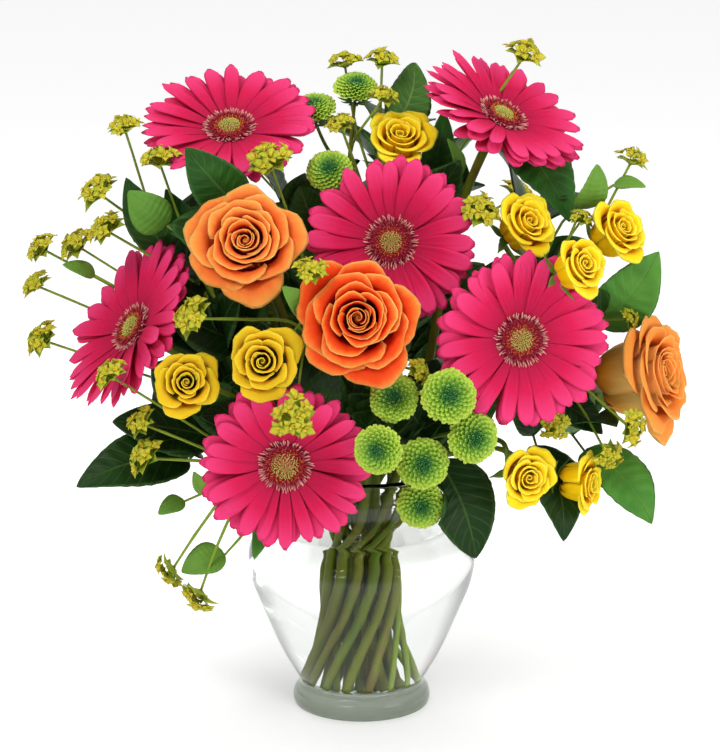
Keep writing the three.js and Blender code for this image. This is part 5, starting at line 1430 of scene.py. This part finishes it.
def clear_water():
    """Fresh water, quite clear. Where it touches the glass it hardly reflects, so its reflection is faint."""
    finish, tree, shader = new_finish("vase_water", Roughness=0.0, IOR=1.333, Transmission_Weight=1.0,
                                      Base_Color=linear("#fefffe"), Specular_Tint=(0.1, 0.1, 0.1, 1))
    finished(tree, shader, None, patches(tree, 50, 1.0), 0.15)
    return finish


# %% Make the vase and the water
vase = make_piece("vase", make_vase(), clear_glass())
water = make_piece("water", make_water(), clear_water())
vase.visible_shadow = False
water.visible_shadow = False
print("all triangles:", sum(t for _, t in pieces_made), "in", len(pieces_made), "pieces")
print("most in one piece:", max((t, name) for name, t in pieces_made))

# %% [markdown]
# ## Studio
# The bouquet stands on a wide white sheet in a white room under two large soft lights, one above and in front
# and one above and behind. The room's side walls and the wall behind the camera are grey, which draws darker
# lines at the edges of the glass and keeps a white haze off the petals. A third light fills in from the
# right. The camera looks down on it a little, from far off, so that nothing looms.

# %% Floor and soft boxes
FLOOR_SIZE = 20.0


def make_floor():
    """A plain pale sheet, wide enough that its far edge is out of view. It glows a little, which is painted
    light, and less so near the vase, by a straight line with the distance from it, which paints a pool of
    shadow round the foot."""
    half = FLOOR_SIZE / 2
    mesh = bpy.data.meshes.new("studio_floor")
    corners = [(-half, -half, 0), (half, -half, 0), (half, half, 0), (-half, half, 0)]
    mesh.from_pydata(corners, [], [(0, 1, 2, 3)])
    floor = bpy.data.objects.new("studio_floor", mesh)
    finish, tree, shader = new_finish("studio_paper_painted_glow", Roughness=0.9, Specular_IOR_Level=0.0,
                                      Emission_Color=(1, 1, 1, 1))
    # Painted light: the floor glows, weakest at the vase and stronger in a straight line out to 0.3 m, which
    # paints a pool of shadow round the foot.
    place = add(tree, "TexCoord", output="Object")
    far = add(tree, "VectorMath", place, operation="LENGTH", output="Value")
    far = add(tree, "Math", far, 0.3, operation="MINIMUM")
    painted_light_glow = add(tree, "Math", far, 0.76, 0.045, operation="MULTIPLY_ADD")
    tree.links.new(painted_light_glow, shader.inputs["Emission Strength"])
    colour = add(tree, "ValToRGB", patches(tree, 60, 2.0), ramp=[(0.01, "#f8f8f8"), (0.99, "#fcfcfc")])
    tree.links.new(colour, shader.inputs["Base Color"])
    mesh.materials.append(finish)
    bpy.context.scene.collection.objects.link(floor)


def soft_light(name, place, aim, size, watts):
    """A square soft box turned to face a point."""
    light = bpy.data.lights.new(name, "AREA")
    light.shape, light.size, light.energy = "SQUARE", size, watts
    box = bpy.data.objects.new(name, light)
    box.location = place
    way = np.subtract(aim, place)
    flat = math.hypot(way[0], way[1])
    box.rotation_euler = (math.atan2(flat, -way[2]), 0, math.atan2(-way[0], way[1]))
    bpy.context.scene.collection.objects.link(box)


# %% The white room
world = bpy.data.worlds.new("studio_white")
bpy.context.scene.world = world
world.use_nodes = True
background = next(n for n in world.node_tree.nodes if n.type == "BACKGROUND")
tree = world.node_tree
direction = add(tree, "SeparateXYZ", add(tree, "TexCoord", output="Generated"), output=None)
sideways = add(tree, "Math", direction[0], operation="ABSOLUTE")
walls = add(tree, "ValToRGB", sideways, ramp=[(0.5, "#ffffff"), (0.78, "#9c9c9c"), (0.99, "#6c6c6c")])
backwards = add(tree, "Math", direction[1], -1.0, operation="MULTIPLY")
rear = add(tree, "ValToRGB", backwards, ramp=[(0.1, "#ffffff"), (0.5, "#c8c8c8"), (0.99, "#a8a8a8")])
room = add(tree, "Mix", {0: 1.0, 6: walls, 7: rear}, data_type="RGBA", blend_type="MULTIPLY", output=2)
tree.links.new(room, background.inputs["Color"])
background.inputs["Strength"].default_value = 0.98

# %% Make the floor and the lights
make_floor()
MIDDLE = (0, 0, 0.22)
soft_light("key_light", (-0.8, -1.3, 1.6), MIDDLE, 0.7, 20)
soft_light("top_light", (0.3, 0.4, 1.9), MIDDLE, 0.8, 6)
soft_light("fill_light", (1.4, -1.0, 0.9), MIDDLE, 0.9, 13)
bpy.context.scene.view_settings.view_transform = "Standard"

# %% Camera
AIM = np.array([-1, 0, 205]) * MM
DISTANCE, LOOK_DOWN = 1.6, math.radians(13)
FOCAL_PIXELS, FRAME_HEIGHT, SENSOR = 2667, 752, 36
camera_data = bpy.data.cameras.new("camera")
camera_data.sensor_width = SENSOR
camera_data.lens = FOCAL_PIXELS * SENSOR / FRAME_HEIGHT
camera = bpy.data.objects.new("camera", camera_data)
camera.location = AIM + DISTANCE * np.array([0, -math.cos(LOOK_DOWN), math.sin(LOOK_DOWN)])
camera.rotation_euler = (math.pi / 2 - LOOK_DOWN, 0, 0)
bpy.context.scene.collection.objects.link(camera)
bpy.context.scene.camera = camera
